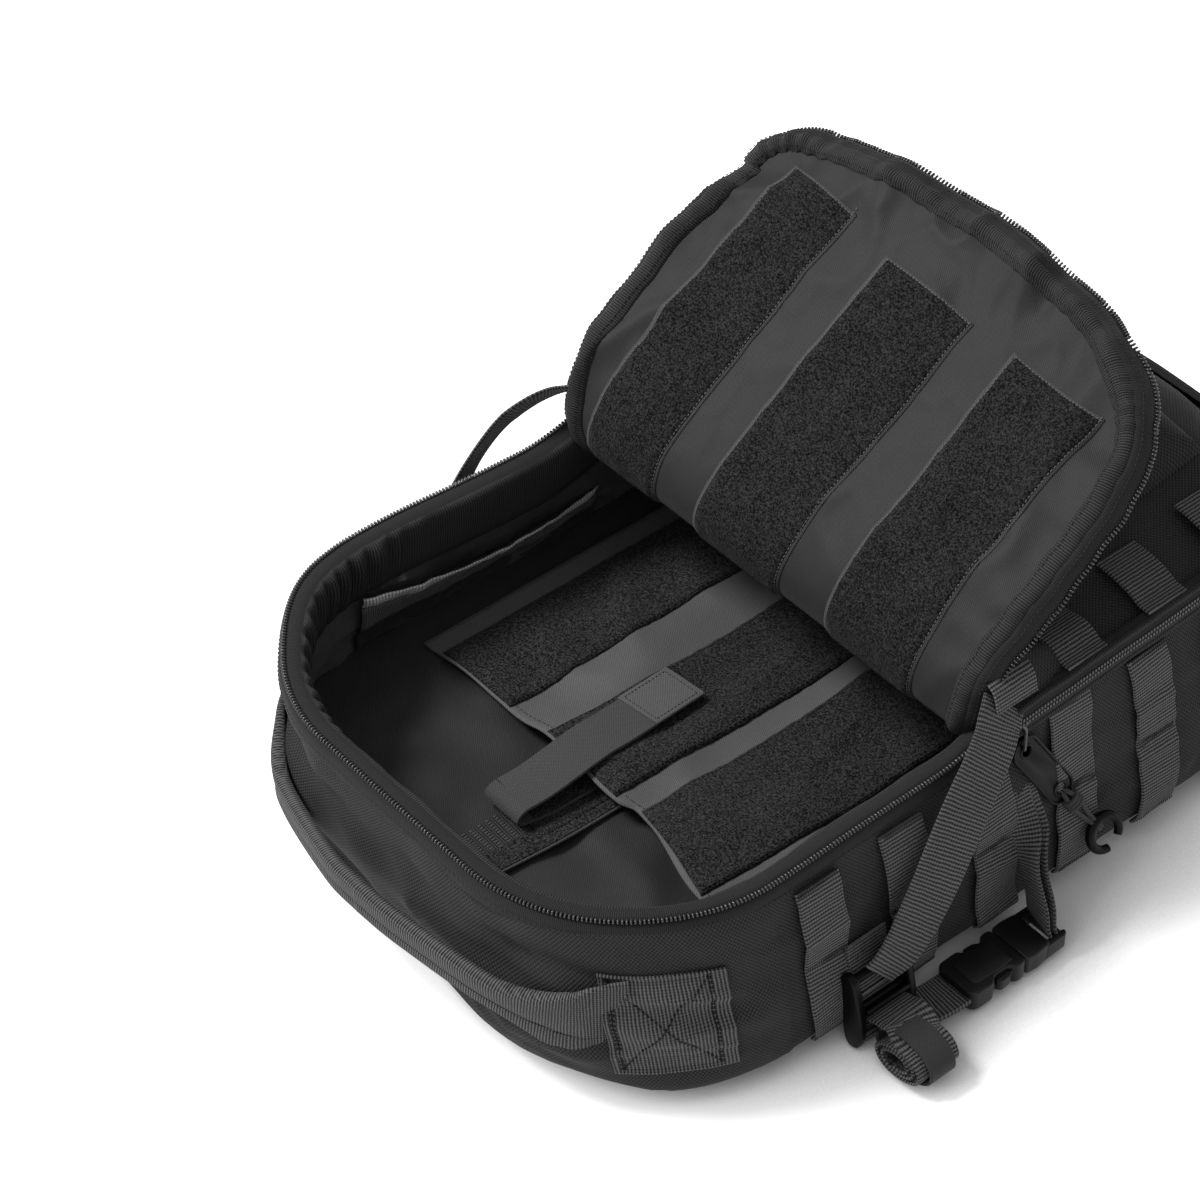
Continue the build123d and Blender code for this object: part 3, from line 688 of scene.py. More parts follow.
# ---------------------------------------------------------------- rim: zipper half, tape and gathered binding
OPEN_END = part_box("rim_binding")[1].y
RIM_RUN = []
for station in outline_stations(1.5 * MM):
    place, out = outline_point(1, station)
    RIM_RUN.append((place + out * left_fullness(station), out))
RIM_RUN = [(place, out) for place, out in RIM_RUN if place.y <= OPEN_END + 4 * MM]


def rim_place(place, out, inset, rise):
    point = place - out * inset
    point.z = rim_height(place) + rise
    return point


def gather(place, pitch):
    """Gathers of the binding: close and deep round the top end's corners, faint along the sides."""
    corner = ramp(-place.y, 70 * MM, 140 * MM) * ramp(-place.x, 20 * MM, 100 * MM)
    angle = math.atan2(place.y + 100 * MM, place.x)
    wander = 5.5 * rough(place.x * 13, place.y * 13)
    wave = math.sin(angle * 95 * MM / pitch * TAU + wander) * (0.7 + 0.6 * rough(place.x * 32, place.y * 32, 4))
    return wave * (0.05 + 0.95 * corner)


def rim_band(name, section, material, ruffle, thick=0.0):
    """A band round the rim from a section of (inset, rise) places and how far gathers move each."""
    rows = []
    for (inset, rise), depth in zip(section, ruffle):
        row = []
        for place, out in RIM_RUN:
            wave = gather(place, 8 * MM)
            uneven = rough(place.x * 45, place.y * 45, inset * 60)
            side = 0.45 + 0.55 * ramp(-place.y, 60 * MM, 130 * MM)
            point = rim_place(place, out, inset + depth * (0.8 * wave + 0.75 * uneven * side),
                              rise + depth * 0.4 * uneven)
            row.append(point)
        rows.append(row)
    return sheet_piece(name, rows[::-1], material, thick)


def mm(*pairs):
    return [tuple(v * MM for v in pair) for pair in pairs]


finish_piece(rim_band("rim_tape", mm((2.2, 2.0), (4.5, 2.6), (7.5, 2.4), (10.5, 1.0), (11.5, -0.5)), TAPE,
                      [0, 0, 0.2 * MM, 0.5 * MM, 0.7 * MM], 0.5 * MM),
             "bag", "zipper_tape", "rim_zipper_tape")
finish_piece(rim_band("rim_binding_roll", mm((8.6, -0.6), (8.9, 0.9), (9.8, 1.5), (10.9, 1.0), (11.8, -0.8),
                                             (12.0, -4.0), (12.2, -8.5), (11.8, -14), (11.0, -20), (10.2, -27)),
                                             BINDING,
                      [d * MM for d in (0.2, 0.5, 1.0, 1.7, 2.6, 3.8, 4.2, 3.4, 2.2, 0.7)], 0.7 * MM),
             "bag", "binding_tape", "rim_binding")


def rim_piping():
    """The shell's turned edge just under the teeth, outside."""
    rows = []
    for inset, rise in mm((2.4, 1.7), (0.8, 1.9), (-0.6, 0.6), (-1.3, -2.0), (-1.5, -6.0), (-1.0, -9.5),
                          (-0.2, -11.0)):
        rows.append([rim_place(p, o, inset + 0.35 * MM * rough(p.x * 60, p.y * 60, rise * 90), rise) for p,
                     o in RIM_RUN])
    return sheet_piece("rim_outer_tape", rows[::-1], TAPE, 0.5 * MM)


finish_piece(rim_piping(), "bag", "zipper_tape")


def rim_teeth():
    path = [rim_place(p, o, 1.2 * MM, 3.0 * MM) for p, o in RIM_RUN]
    places = []
    for p, run in along_path(path, 1.9 * MM):
        out = run.cross(Vector((0, 0, 1))).normalized()
        places.append((p, out * 1.5 * MM, Vector((0, 0, 1)) * 1.25 * MM, run * 0.62 * MM))
    return beads("rim_teeth", places, TOOTH, 8, 4)


finish_piece(rim_teeth(), "bag", "zipper_teeth", "rim_zipper_teeth")


def rim_stitching():
    places = []
    for inset, rise, pitch in ((6.5 * MM, 2.75 * MM, 2.6 * MM), (-1.6 * MM, -4.5 * MM, 2.9 * MM)):
        path = [rim_place(p, o, inset, rise) for p, o in RIM_RUN]
        for p, run in along_path(path, pitch):
            up = Vector((0, 0, 1)) if inset > 0 else run.cross(Vector((0, 0, 1)))
            side = up.cross(run).normalized()
            places.append((p, side * 0.25 * MM, up * 0.25 * MM, run * pitch * 0.36))
    return beads("rim_stitches", places, SOFT_THREAD, 5, 3)


finish_piece(rim_stitching(), "bag", "zipper_tape")

# ---------------------------------------------------------------- inside: sleeve, strips, tab, hanger and wall pocket
SLEEVE_LOW, SLEEVE_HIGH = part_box("sleeve_panel")
SLEEVE_TOP = SLEEVE_HIGH.z
SLEEVE_FREE = SLEEVE_LOW.y


def sleeve(x, y, lift=0.0):
    """The sleeve panel: held down at its sides, loose and puffed towards its free edge."""
    hold = 1 - ramp(abs(x), 84 * MM, 132 * MM)
    edge = 1 - ramp(y, SLEEVE_FREE, SLEEVE_FREE + 95 * MM)
    puff = hold * (4 * MM + 6.5 * MM * edge * (0.65 + 0.35 * math.cos((x - 40 * MM) * 30)))
    wave = 4.2 * MM * rough(x * 15 + 3, y * 11, 1) * (0.4 + 0.6 * hold)
    crease = 2.3 * MM * rough(x * 42, y * 24 + 5, 4) * hold * (0.5 + edge)
    crease += 2.8 * MM * (ridge(x * 16 + y * 9, y * 12 - x * 6, 12) - 0.3) * hold
    wave += 3.5 * MM * hold * math.exp(-((x - 58 * MM) / (30 * MM)) ** 2) * (0.4 + 0.6 * edge)
    sag = -3.0 * MM * hold * edge * math.exp(-((x + 62 * MM) / (16 * MM)) ** 2)
    sag += -2.6 * MM * hold * edge * math.exp(-((x - 22 * MM) / (14 * MM)) ** 2)
    return Vector((x, y, SLEEVE_TOP - 5.5 * MM + puff + wave + crease + sag + lift))


def sleeve_edge(x):
    """The free edge wanders a little, and is cut back between the strips."""
    dip = 17 * MM * ramp(x, 24 * MM, 92 * MM) + 5 * MM * ramp(x, -48 * MM, 16 * MM) * (1 - ramp(x, 16 * MM, 26 * MM))
    return SLEEVE_FREE - dip + 1.5 * MM * rough(x * 20, 1.5)


def sleeve_sheet():
    rows = []
    for t in steps(0, 1, 0.012):
        row = []
        for x in steps(-SLEEVE_HIGH.x, SLEEVE_HIGH.x, 3 * MM):
            y = lerp(sleeve_edge(x), SLEEVE_HIGH.y, t)
            row.append(sleeve(x, y))
        rows.append(row)
    return sheet_piece("sleeve_sheet", rows, LIT_SLEEVE_LINING, 0.9 * MM)


sleeve_cloth = sleeve_sheet()
finish_piece(sleeve_cloth, "bag", "lining_cloth", "sleeve_panel")


def strip_patch(surface, left, right, start, end, spacing=1.8 * MM, slant=0.0, skew=0.0, tilt=0.0):
    """Rows of a napped strip on surface(x, s, lift), thick in the middle and thin at its stitched edges."""
    wide = right - left
    rows = []
    for t in steps(0, 1, spacing / (end - start)):
        row = []
        for k in steps(0, 1, spacing / wide):
            s = lerp(start - tilt * k, end - skew * (k - 0.5), t)
            x = lerp(left, right, k) + slant * t
            rim = min(k, 1 - k) * wide
            tip = min(t, 1 - t) * (end - start)
            near = min(rim, tip)
            pile = 0.5 * MM + 1.3 * MM * ramp(near, 0.3 * MM, 2.6 * MM)
            pile += 0.16 * MM * rough(x * 900, s * 900, 3) * ramp(near, 0, 2 * MM)
            edge = 0.5 * MM * rough(s * 300, x * 300) if rim < 0.5 * MM else 0.0
            row.append(surface(x + edge, s, pile))
        rows.append(row)
    return rows


def grids(name, many_rows, material, thick=0.0):
    """One piece from several grids of points."""
    parts = []
    for rows in many_rows:
        height, width = len(rows), len(rows[0])
        along = lengths(rows[height // 2])
        across = lengths([row[width // 2] for row in rows])
        points = [p for row in rows for p in row]
        uvs = [(along[j], across[i]) for i in range(height) for j in range(width)]
        faces = [(i * width + j, i * width + j + 1, (i + 1) * width + j + 1, (i + 1) * width + j)
                 for i in range(height - 1) for j in range(width - 1)]
        parts.append((points, faces, uvs))
    points, faces, uvs = join_parts(parts)
    piece = mesh_piece(name, points, faces, material, uvs)
    if thick:
        solid = piece.modifiers.new("thickness", "SOLIDIFY")
        solid.thickness = thick
        solid.offset = -1
        bake(piece)
    return piece


SLEEVE_STRIPS = ((-119 * MM, -67 * MM), (-39 * MM, 15 * MM), (28 * MM, 89 * MM))
STRIP_END = 72 * MM
patches, edges = [], []
for left, right in SLEEVE_STRIPS:
    first = sleeve_edge(left) + 1.5 * MM
    drop = sleeve_edge(left) - sleeve_edge(right)
    patches.append(strip_patch(sleeve, left, right, first, STRIP_END, 2 * MM, tilt=drop))
    box = [(left + 2 * MM, STRIP_END - 2 * MM), (left + 2 * MM, first + 2 * MM),
           (right - 2 * MM, first - drop + 2 * MM),
           (right - 2 * MM, STRIP_END - 2 * MM)]
    edges += stitch_line(lambda x, y: sleeve(x, y, 1.7 * MM), box)
sleeve_nap = finish_piece(grids("sleeve_strips", patches, LOOP, 1.2 * MM), "bag", "loop_tape", "sleeve_loop_strips")
hem = [(x, sleeve_edge(x) + 5 * MM) for x in steps(-120 * MM, 120 * MM, 10 * MM)]
sleeve_seams = finish_piece(beads("sleeve_stitches", edges + stitch_line(sleeve, hem), SOFT_THREAD, 5, 3), "bag",
                            "lining_cloth")

TAB_LOW, TAB_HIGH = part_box("sleeve_tab")
TAB_X = (TAB_LOW.x + TAB_HIGH.x) / 2
BEND = Vector((TAB_X, TAB_LOW.y, JOINT["tab_lift"]["pos_m"][2]))


def tab_strap():
    """Upper arm of the retention tab, from its loop at the free end to the square stitched on the strip."""
    path = [Vector((TAB_X + 6 * MM, BEND.y - 0.4 * MM, BEND.z + 3.4 * MM)),
            Vector((TAB_X + 7 * MM, -118 * MM, 40.4 * MM)),
            Vector((TAB_X + 7 * MM, -95 * MM, 43.0 * MM)), Vector((TAB_X + 5 * MM, -60 * MM, 42 * MM)),
            Vector((TAB_X + 3 * MM, -42 * MM, 40 * MM)), Vector((TAB_X + 1 * MM, -20 * MM, 38 * MM))]
    path = spline(path)
    for p in path:
        under = max(sleeve(p.x + across, p.y).z for across in (-12 * MM, -6 * MM, 0, 6 * MM, 12 * MM))
        if p.y > SLEEVE_FREE - 2 * MM:
            p.z = max(p.z, under + 3.4 * MM)
    for _ in range(3):
        heights = [p.z for p in path]
        for i in range(1, len(path) - 1):
            path[i].z = max(heights[i], (heights[i - 1] + heights[i] + heights[i + 1]) / 3)
    sides = [Vector((1, 0.08 * i / len(path), 0)) for i in range(len(path))]
    strap = ribbons("tab_upper_arm", [(path, sides, WEB, 1.7 * MM)], TAB_CLOTH)
    finish_piece(strap, "tab", "loop_tape", "sleeve_tab")
    patch = [p for p in path if p.y > path[-1].y - 34 * MM]
    over = [p + Vector((0, 0, 1.25 * MM)) for p in patch]
    side = [Vector((1, 0.09, 0.01))] * len(over)
    square = ribbons("tab_end_patch", [(over, side, WEB + 0.6 * MM, 1.0 * MM)], TAB_PATCH)
    finish_piece(square, "tab", "loop_tape")
    stitched = []
    for a, b in (((-0.42, 0.08), (0.42, 0.08)), ((0.42, 0.08), (0.42, 0.92)), ((0.42, 0.92), (-0.42, 0.92)),
                 ((-0.42, 0.92), (-0.42, 0.08))):
        line = []
        for t in steps(0, 1, 0.08):
            across, down = lerp(a[0], b[0], t), lerp(a[1], b[1], t)
            i = clamp(down) * (len(over) - 1)
            low = int(min(i, len(over) - 2))
            base = lerp(over[low], over[low + 1], i - low)
            line.append(base + side[0].normalized() * across * WEB + Vector((0, 0, 0.65 * MM)))
        for p, run in along_path(line, 2.4 * MM):
            stitched.append((p, run.cross(Vector((0, 0, 1))).normalized() * 0.25 * MM, Vector((0, 0, 0.22 * MM)),
                             run * 0.85 * MM))
    finish_piece(beads("tab_stitches", stitched, SOFT_THREAD, 5, 3), "tab", "loop_tape")


tab_strap()


def tab_loop():
    """Bend and lower arm of the tab: hook side up, sewn under the sleeve's edge."""
    bend = []
    for i in range(13):
        turn = math.pi / 2 + math.pi * i / 12
        bend.append(BEND + Vector((6 * MM, 6.0 * MM * math.cos(turn) * 1.1, 4.4 * MM * math.sin(turn) - 1.0 * MM)))
    lower = [Vector((TAB_X + 8 * MM, -118 * MM, 30.0 * MM)), Vector((TAB_X + 9 * MM, -100 * MM, 30.5 * MM)),
             Vector((TAB_X + 9 * MM, -84 * MM, 29.5 * MM)), Vector((TAB_X + 9 * MM, -72 * MM, 28.0 * MM))]
    path = spline(bend[::2] + lower, 1.5 * MM)
    finish_piece(ribbons("tab_lower_arm", [(path, Vector((1, 0, 0)), WEB, 1.7 * MM)], TAB_CLOTH), "bag", "loop_tape",
                 "sleeve_tab_root")
    nap_path = [p + Vector((0, 0, 1.3 * MM)) for p in path[int(len(path) * 0.33):]]
    finish_piece(ribbons("tab_lower_nap", [(nap_path, Vector((1, 0, 0)), WEB - 1.6 * MM, 1.5 * MM)], LOOP), "bag",
                 "loop_tape")


tab_loop()

HANG_LOW, HANG_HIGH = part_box("hanger_webbing")


def hanger():
    x = (HANG_LOW.x + HANG_HIGH.x) / 2
    x += 12 * MM
    path = spline([Vector((x + 4 * MM, -84 * MM, 27.4 * MM)), Vector((x + 3 * MM, -110 * MM, 27.4 * MM)),
                   Vector((x + 1 * MM, -138 * MM, 27.4 * MM)), Vector((x, -160 * MM, 28.0 * MM)),
                   Vector((x - 1 * MM, -184 * MM, 34.0 * MM)), Vector((x - 2 * MM, -202 * MM, 62 * MM)),
                   Vector((x - 2 * MM, -204 * MM, 88 * MM))])
    finish_piece(ribbons("hanger_strap", [(path, Vector((1, 0, 0)), WEB, 1.8 * MM)], BINDING), "bag", "webbing",
                 "hanger_webbing")
    cover = spline([Vector((x + 4 * MM, -80 * MM, 28.9 * MM)), Vector((x + 3 * MM, -105 * MM, 28.9 * MM)),
                    Vector((x + 2 * MM, -131 * MM, 28.9 * MM))])
    edge = spline([Vector((x + 15 * MM, -88 * MM, 28.0 * MM)), Vector((x + 14 * MM, -125 * MM, 28.0 * MM)),
                   Vector((x + 11 * MM, -168 * MM, 29.0 * MM))])
    finish_piece(ribbons("hanger_nap", [(cover, Vector((1, 0, 0)), WEB - 1 * MM, 1.4 * MM),
                                        (edge, Vector((1, 0, 0)), 13 * MM, 1.8 * MM)], LOOP), "bag", "loop_tape")
    piping = [tube_parts([p + Vector((6.8 * MM, 0, -0.2 * MM)) for p in edge], 0.8 * MM, 8)]
    finish_piece(mesh_piece("hanger_edge", *join_parts(piping)[:2], TAB_CLOTH, join_parts(piping)[2]), "bag",
                 "loop_tape")
    places = []
    for row in range(6):
        y = -135 * MM - row * 4.7 * MM
        for col in range(-6, 7):
            p = Vector((x + col * 1.8 * MM, y + 0.4 * MM * rough(col, row), 28.5 * MM + 0.5 * MM * (row > 4)))
            places.append((p, Vector((0.55, 0, 0)) * MM, Vector((0, 0, 0.35)) * MM, Vector((0, 1.2, 0)) * MM))
    finish_piece(beads("hanger_stitches", places, HANGER_THREAD, 6, 3), "bag", "webbing")


hanger()

POCKET_LOW, POCKET_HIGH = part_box("wall_pocket")
POCKET_START = max(POCKET_LOW.y - 14 * MM, RIM_TOP + TOP_CORNER - 6 * MM)
POCKET_END = POCKET_HIGH.y + 6 * MM


def wall_pocket(y, up, lift=0.0):
    """Elastic pocket on the left inner wall: up runs from its sewn foot to its gathered mouth."""
    share = clamp((y - POCKET_START) / (POCKET_END - POCKET_START))
    h = lerp(0.26, lerp(0.66, 0.52, share), up)
    half = level(h)[0]
    gape = 8 * MM * up * up * math.sin(math.pi * share) ** 0.7
    inset = 9.5 * MM + gape + 1.6 * MM * rough(y * 60, up * 3, 2) + 1.0 * MM * rough(y * 150, up * 5, 6)
    droop = -2 * MM * up * math.sin(math.pi * share)
    return Vector((-(half - inset - lift), y, lerp(3 * MM, RIM_Z, h) + droop))


def pocket_pieces():
    ys = steps(POCKET_START, POCKET_END, 2.5 * MM)
    body = [[wall_pocket(y, up) for y in ys] for up in steps(0, 1, 0.06)]
    finish_piece(sheet_piece("wall_pocket_mesh", body, DARK_LINING, 0.8 * MM), "bag", "elastic_mesh", "wall_pocket")
    # the pocket's edge material carries a painted highlight
    for name, low, high, material, slot in (("wall_pocket_band", 0.42, 0.86, POCKET_BAND, "binding_tape"),
                                            ("wall_pocket_edge", 0.88, 1.06, ELASTIC_WITH_PAINTED_HIGHLIGHT, "elastic_mesh")):
        rows = []
        for k in steps(0, 1, 0.2):
            up = lerp(low, high, k)
            swell = 1.1 * MM + 0.8 * MM * math.sin(math.pi * k)
            rows.append([wall_pocket(y, up, swell) for y in ys])
        finish_piece(sheet_piece(name, rows, material, 0.8 * MM), "bag", slot)


pocket_pieces()

# ---------------------------------------------------------------- lid
LID_LEAN = math.radians(36.7)
LID_FIRST = -30 * MM
LID_TIP = 213 * MM
LID_LEFT = 140 * MM
LID_RIGHT = 137.5 * MM
LEFT_R = 28 * MM
RIGHT_R = 88 * MM


def lid_table():
    """The lid's middle line from inside the fold to past its tip: (y, z, direction) each millimetre."""
    def heading(s):
        if s < -9 * MM:
            return math.radians(186)
        return LID_LEAN + math.radians(105.8) * math.exp(-s / (25.9 * MM))
    table = {0: (FOLD_Y, FOLD_Z)}
    y, z = FOLD_Y, FOLD_Z
    for i in range(1, 250):
        turn = heading((i - 0.5) * MM)
        y, z = y + math.cos(turn) * MM, z + math.sin(turn) * MM
        table[i] = (y, z)
    y, z = FOLD_Y, FOLD_Z
    for i in range(-1, -41, -1):
        turn = heading((i + 0.5) * MM)
        y, z = y - math.cos(turn) * MM, z - math.sin(turn) * MM
        table[i] = (y, z)
    return {i: (*p, heading(i * MM)) for i, p in table.items()}


LID_LINE = lid_table()


def lid_sides(s):
    """How far the lid's cloth reaches to the left and right at distance s up from the fold."""
    def side(half, radius):
        over = s - (LID_TIP - radius)
        pull = 3 * MM * math.sin(math.pi * clamp(s / LID_TIP)) - 5 * MM * (1 - ramp(s, -6 * MM, 22 * MM))
        if half == LID_LEFT:
            pull += 5.5 * MM * ramp(s, 0, 60 * MM) * (1 - ramp(s, 105 * MM, 175 * MM))
        if over <= 0:
            return half - 3 * MM + pull
        return half - 3 * MM + pull - radius + math.sqrt(max(radius * radius - over * over, 0.0))
    return side(LID_LEFT, LEFT_R), side(LID_RIGHT, RIGHT_R)


def lid_tip_sag(x):
    """How far the lid's tip falls short of straight: much at the left corner, a little at the right."""
    left = 14 * MM * clamp((-10 * MM - x) / (122 * MM)) ** 1.8
    return left + 5.5 * MM * ramp(x, 5 * MM, 60 * MM) * (1 - ramp(x, 85 * MM, 125 * MM))


def lid(x, s, lift=0.0):
    """Point on the lid at x across and s up from the fold, lifted off the lining's side."""
    s -= lid_tip_sag(x) * ramp(s, 100 * MM, LID_TIP)
    i = int(math.floor(s / MM))
    i = max(-40, min(248, i))
    share = s / MM - i
    y0, z0, turn = LID_LINE[i]
    y1, z1, _ = LID_LINE[i + 1]
    near_tip = ramp(s, 120 * MM, 205 * MM)
    near_side = ramp(abs(x), 80 * MM, 132 * MM)
    fullness = clamp(s / (60 * MM))
    relief = 3.4 * MM * rough(x * 13, s * 9, 2) * fullness
    relief += (1.5 + 3.0 * near_tip + 2.0 * near_side) * MM * rough(x * 34 + 4, s * 26, 5) * fullness
    relief += 2.6 * MM * near_tip * rough(x * 62, s * 16, 8) * fullness
    relief += 2.6 * MM * near_side * rough(x * 16, s * 58, 9) * fullness
    relief += (1.9 + 2.8 * near_tip + 2.4 * near_side) * MM * (ridge(x * 22 + s * 6, s * 15 - x * 5,
                                                                     13) - 0.3) * fullness
    relief += 0.9 * MM * (ridge(x * 55 + s * 30, s * 34 - x * 20, 17) - 0.3) * fullness
    bow = -7 * MM * math.sin(math.pi * clamp(s / LID_TIP)) * (1 - (x / (135 * MM)) ** 2)
    curl = -9 * MM * ramp(-x, 70 * MM, 132 * MM) * near_tip - 5 * MM * ramp(x, 90 * MM, 135 * MM) * near_tip
    rise = relief + bow + curl + lift
    return Vector((x, lerp(y0, y1, share) - math.sin(turn) * rise, lerp(z0, z1, share) + math.cos(turn) * rise))


def lid_rows(inset, lift, spacing=3 * MM, first=LID_FIRST, shape=None):
    """Grid over the lid's outline drawn in by inset; shape(x, s) adds to the lift."""
    arc = 74 * MM
    straight = steps(first, LID_TIP - inset - arc, spacing)
    round_part = [LID_TIP - inset - arc + (arc) * math.sin(a) for a in steps(0, math.pi / 2, spacing / arc)][1:]
    rows, uvs = [], []
    for s in straight + round_part:
        left, right = lid_sides(s + inset * ramp(s, LID_TIP - 95 * MM, LID_TIP - 10 * MM))
        row = []
        for k in steps(0, 1, 0.011):
            x = lerp(-left + inset, right - inset, k)
            row.append(lid(x, s, lift + (shape(x, s) if shape else 0.0)))
            uvs.append((x, s))
        rows.append(row)
    return rows, uvs


def lid_sheet(name, inset, lift, material, shape=None, thick=0.0, flip=False):
    rows, uvs = lid_rows(inset, lift, shape=shape)
    width = len(rows[0])
    points = [p for row in rows for p in row]
    faces = []
    for i in range(len(rows) - 1):
        for j in range(width - 1):
            a = i * width + j
            quad = (a, a + 1, a + width + 1, a + width)
            faces.append(quad[::-1] if flip else quad)
    piece = mesh_piece(name, points, faces, material, uvs)
    if thick:
        solid = piece.modifiers.new("thickness", "SOLIDIFY")
        solid.thickness = thick
        solid.offset = -1
        bake(piece)
    return piece


fold_piece(lid_sheet("lid_lining", 4 * MM, 0, LINING, thick=0.8 * MM), "lining_cloth", "lid_panel")


def lid_edge_run(spacing=1.5 * MM):
    """The lid's outline as (x, s, outward x, outward s), from the left of the fold round the tip."""
    run = []
    for s in steps(-26 * MM, LID_TIP - LEFT_R, spacing):
        run.append((-lid_sides(s)[0], s, -1, 0))
    for a in steps(0, math.pi / 2, spacing / LEFT_R)[1:]:
        run.append((-LID_LEFT + LEFT_R - LEFT_R * math.cos(a), LID_TIP - LEFT_R + LEFT_R * math.sin(a),
                    -math.cos(a), math.sin(a)))
    for x in steps(-LID_LEFT + LEFT_R, LID_RIGHT - RIGHT_R, spacing)[1:]:
        run.append((x, LID_TIP, 0, 1))
    for a in steps(0, math.pi / 2, spacing / RIGHT_R)[1:]:
        run.append((LID_RIGHT - RIGHT_R + RIGHT_R * math.sin(a), LID_TIP - RIGHT_R + RIGHT_R * math.cos(a),
                    math.sin(a), math.cos(a)))
    for s in steps(LID_TIP - RIGHT_R, -26 * MM, spacing)[1:]:
        run.append((lid_sides(s)[1], s, 1, 0))
    return run


LID_RUN = lid_edge_run()


def lid_gather(x, s, index):
    """Gathers of the lid's binding: strongest round the tip and the right side."""
    strength = 0.10 + 0.50 * ramp(s, 120 * MM, 190 * MM) + 0.25 * ramp(x, 60 * MM, 130 * MM)
    corner = math.exp(-((x + 118 * MM) ** 2 + (s - 195 * MM) ** 2) / (22 * MM) ** 2)
    wander = 7 * rough(x * 15, s * 15)
    uneven = 0.35 + 1.3 * abs(rough(x * 26, s * 26, 6))
    return (strength * uneven + 1.1 * corner) * math.sin(index * 1.5 * MM / (11 * MM) * TAU + wander) * ramp(s,
            4 * MM, 30 * MM)


def lid_band(name, section, ruffle, material, thick):
    """A band round the lid's edge from (outward, lift) places and how far gathers move each."""
    rows = []
    for (out, lift), depth in zip(section, ruffle):
        row = []
        for i, (x, s, ox, os) in enumerate(LID_RUN):
            wave = lid_gather(x, s, i)
            uneven = rough(x * 40, s * 40, out * 60 + 2)
            foot = ramp(s, -4 * MM, 16 * MM)
            push = out + depth * (0.6 * wave + 0.9 * uneven * foot)
            row.append(lid(x + ox * push, s + os * push,
                           lift * lerp(0.4, 1, foot) + depth * (0.5 * wave + 0.5 * uneven * foot)))
        rows.append(row)
    return sheet_piece(name, rows, material, thick)


fold_piece(lid_band("lid_binding_roll",
                    mm((-11, 0.2), (-9.6, 1.3), (-7.9, 2.9), (-5.6, 3.7), (-3.0, 3.2), (-1.0, 1.2), (-0.6, -2.0)),
                    [d * MM for d in (2.0, 2.5, 2.5, 2.0, 1.4, 0.6, 0.1)], BINDING, 0.8 * MM),
           "binding_tape", "lid_binding")
fold_piece(lid_band("lid_tape", mm((-1.6, 1.0), (0.6, 0.0), (2.6, -2.2), (4.0, -5.2), (4.8, -8.6)),
                    [d * MM for d in (0.4, 0.4, 0.3, 0.2, 0.1)], TAPE, 0.6 * MM), "zipper_tape", "lid_zipper_tape")


def lid_teeth():
    path, outs = [], []
    for x, s, ox, os in LID_RUN:
        path.append(lid(x + ox * 5.6 * MM, s + os * 5.6 * MM, -9.2 * MM))
        outs.append((lid(x + ox * 7 * MM, s + os * 7 * MM, -9.2 * MM) - path[-1]).normalized())
    places = []
    run = lengths(path)
    for n, (p, direction) in enumerate(along_path(path, 1.9 * MM)):
        i = min(range(len(path)), key=lambda k: abs(run[k] - (n + 0.5) * 1.9 * MM))
        out = outs[i]
        up = out.cross(direction).normalized()
        places.append((p, out * 1.5 * MM, up * 1.25 * MM, direction * 0.62 * MM))
    return beads("lid_teeth", places, TOOTH, 8, 4)


fold_piece(lid_teeth(), "zipper_teeth", "lid_zipper_teeth")


def lid_edge_stitches():
    places = []
    for out, lift, pitch in ((-8.3, 3.1, 2.8), (2.4, -1.6, 2.4)):
        path = []
        for i, (x, s, ox, os) in enumerate(LID_RUN):
            push = out * MM
            wave = lid_gather(x, s, i) if lift > 0 else 0.0
            path.append(lid(x + ox * push, s + os * push, lift * MM + 1.0 * MM * wave))
        for p, direction in along_path(path, pitch * MM):
            side = direction.orthogonal().normalized()
            places.append((p, side * 0.27 * MM, direction.cross(side) * 0.27 * MM, direction * pitch * 0.36 * MM))
    return beads("lid_edge_stitches", places, SOFT_THREAD, 5, 3)


fold_piece(lid_edge_stitches(), "binding_tape")

# hook-and-loop strips on the lining, slightly fanned, ending short of the tip
LID_STRIPS = ((-126 * MM, -80 * MM, 188 * MM, 15 * MM, 11 * MM), (-50 * MM, 6 * MM, 171 * MM, 16 * MM, 3 * MM),
              (42 * MM, 97 * MM, 170 * MM, 9 * MM, 4 * MM))


def lid_strips():
    patches, borders, edges = [], [], []
    for left, right, end, slant, skew in LID_STRIPS:
        start = -26 * MM
        patches.append(strip_patch(lid, left, right, start, end, 1.5 * MM, slant, skew))
        under = []
        for t in steps(0, 1, 2.5 * MM / (end - start)):
            row = []
            for k in steps(0, 1, 0.05):
                reach = lerp(left - 1.5 * MM, right + 1.5 * MM, k)
                row.append(lid(reach + slant * t, lerp(start, end + 1.2 * MM - skew * (k - 0.5), t), 0.55 * MM))
            under.append(row)
        borders.append(under)
        for x0 in (left + 0.2 * MM, right - 0.2 * MM):
            edges += stitch_line(lambda x, s: lid(x, s, 0.75 * MM),
                                 [(x0, start + 4 * MM), (x0 + slant, end - 1 * MM)], 2.2 * MM)
        edges += stitch_line(lambda x, s: lid(x, s, 0.75 * MM),
                             [(left + slant, end + skew / 2), (right + slant, end - skew / 2)], 2.2 * MM)
    fold_piece(grids("lid_strips", patches, LID_LOOP, 1.0 * MM), "loop_tape", "lid_loop_strips")
    fold_piece(grids("lid_strip_edges", borders, TAB_CLOTH, 0.5 * MM), "loop_tape")
    fold_piece(beads("lid_strip_stitches", edges, THREAD, 5, 3), "loop_tape")


lid_strips()


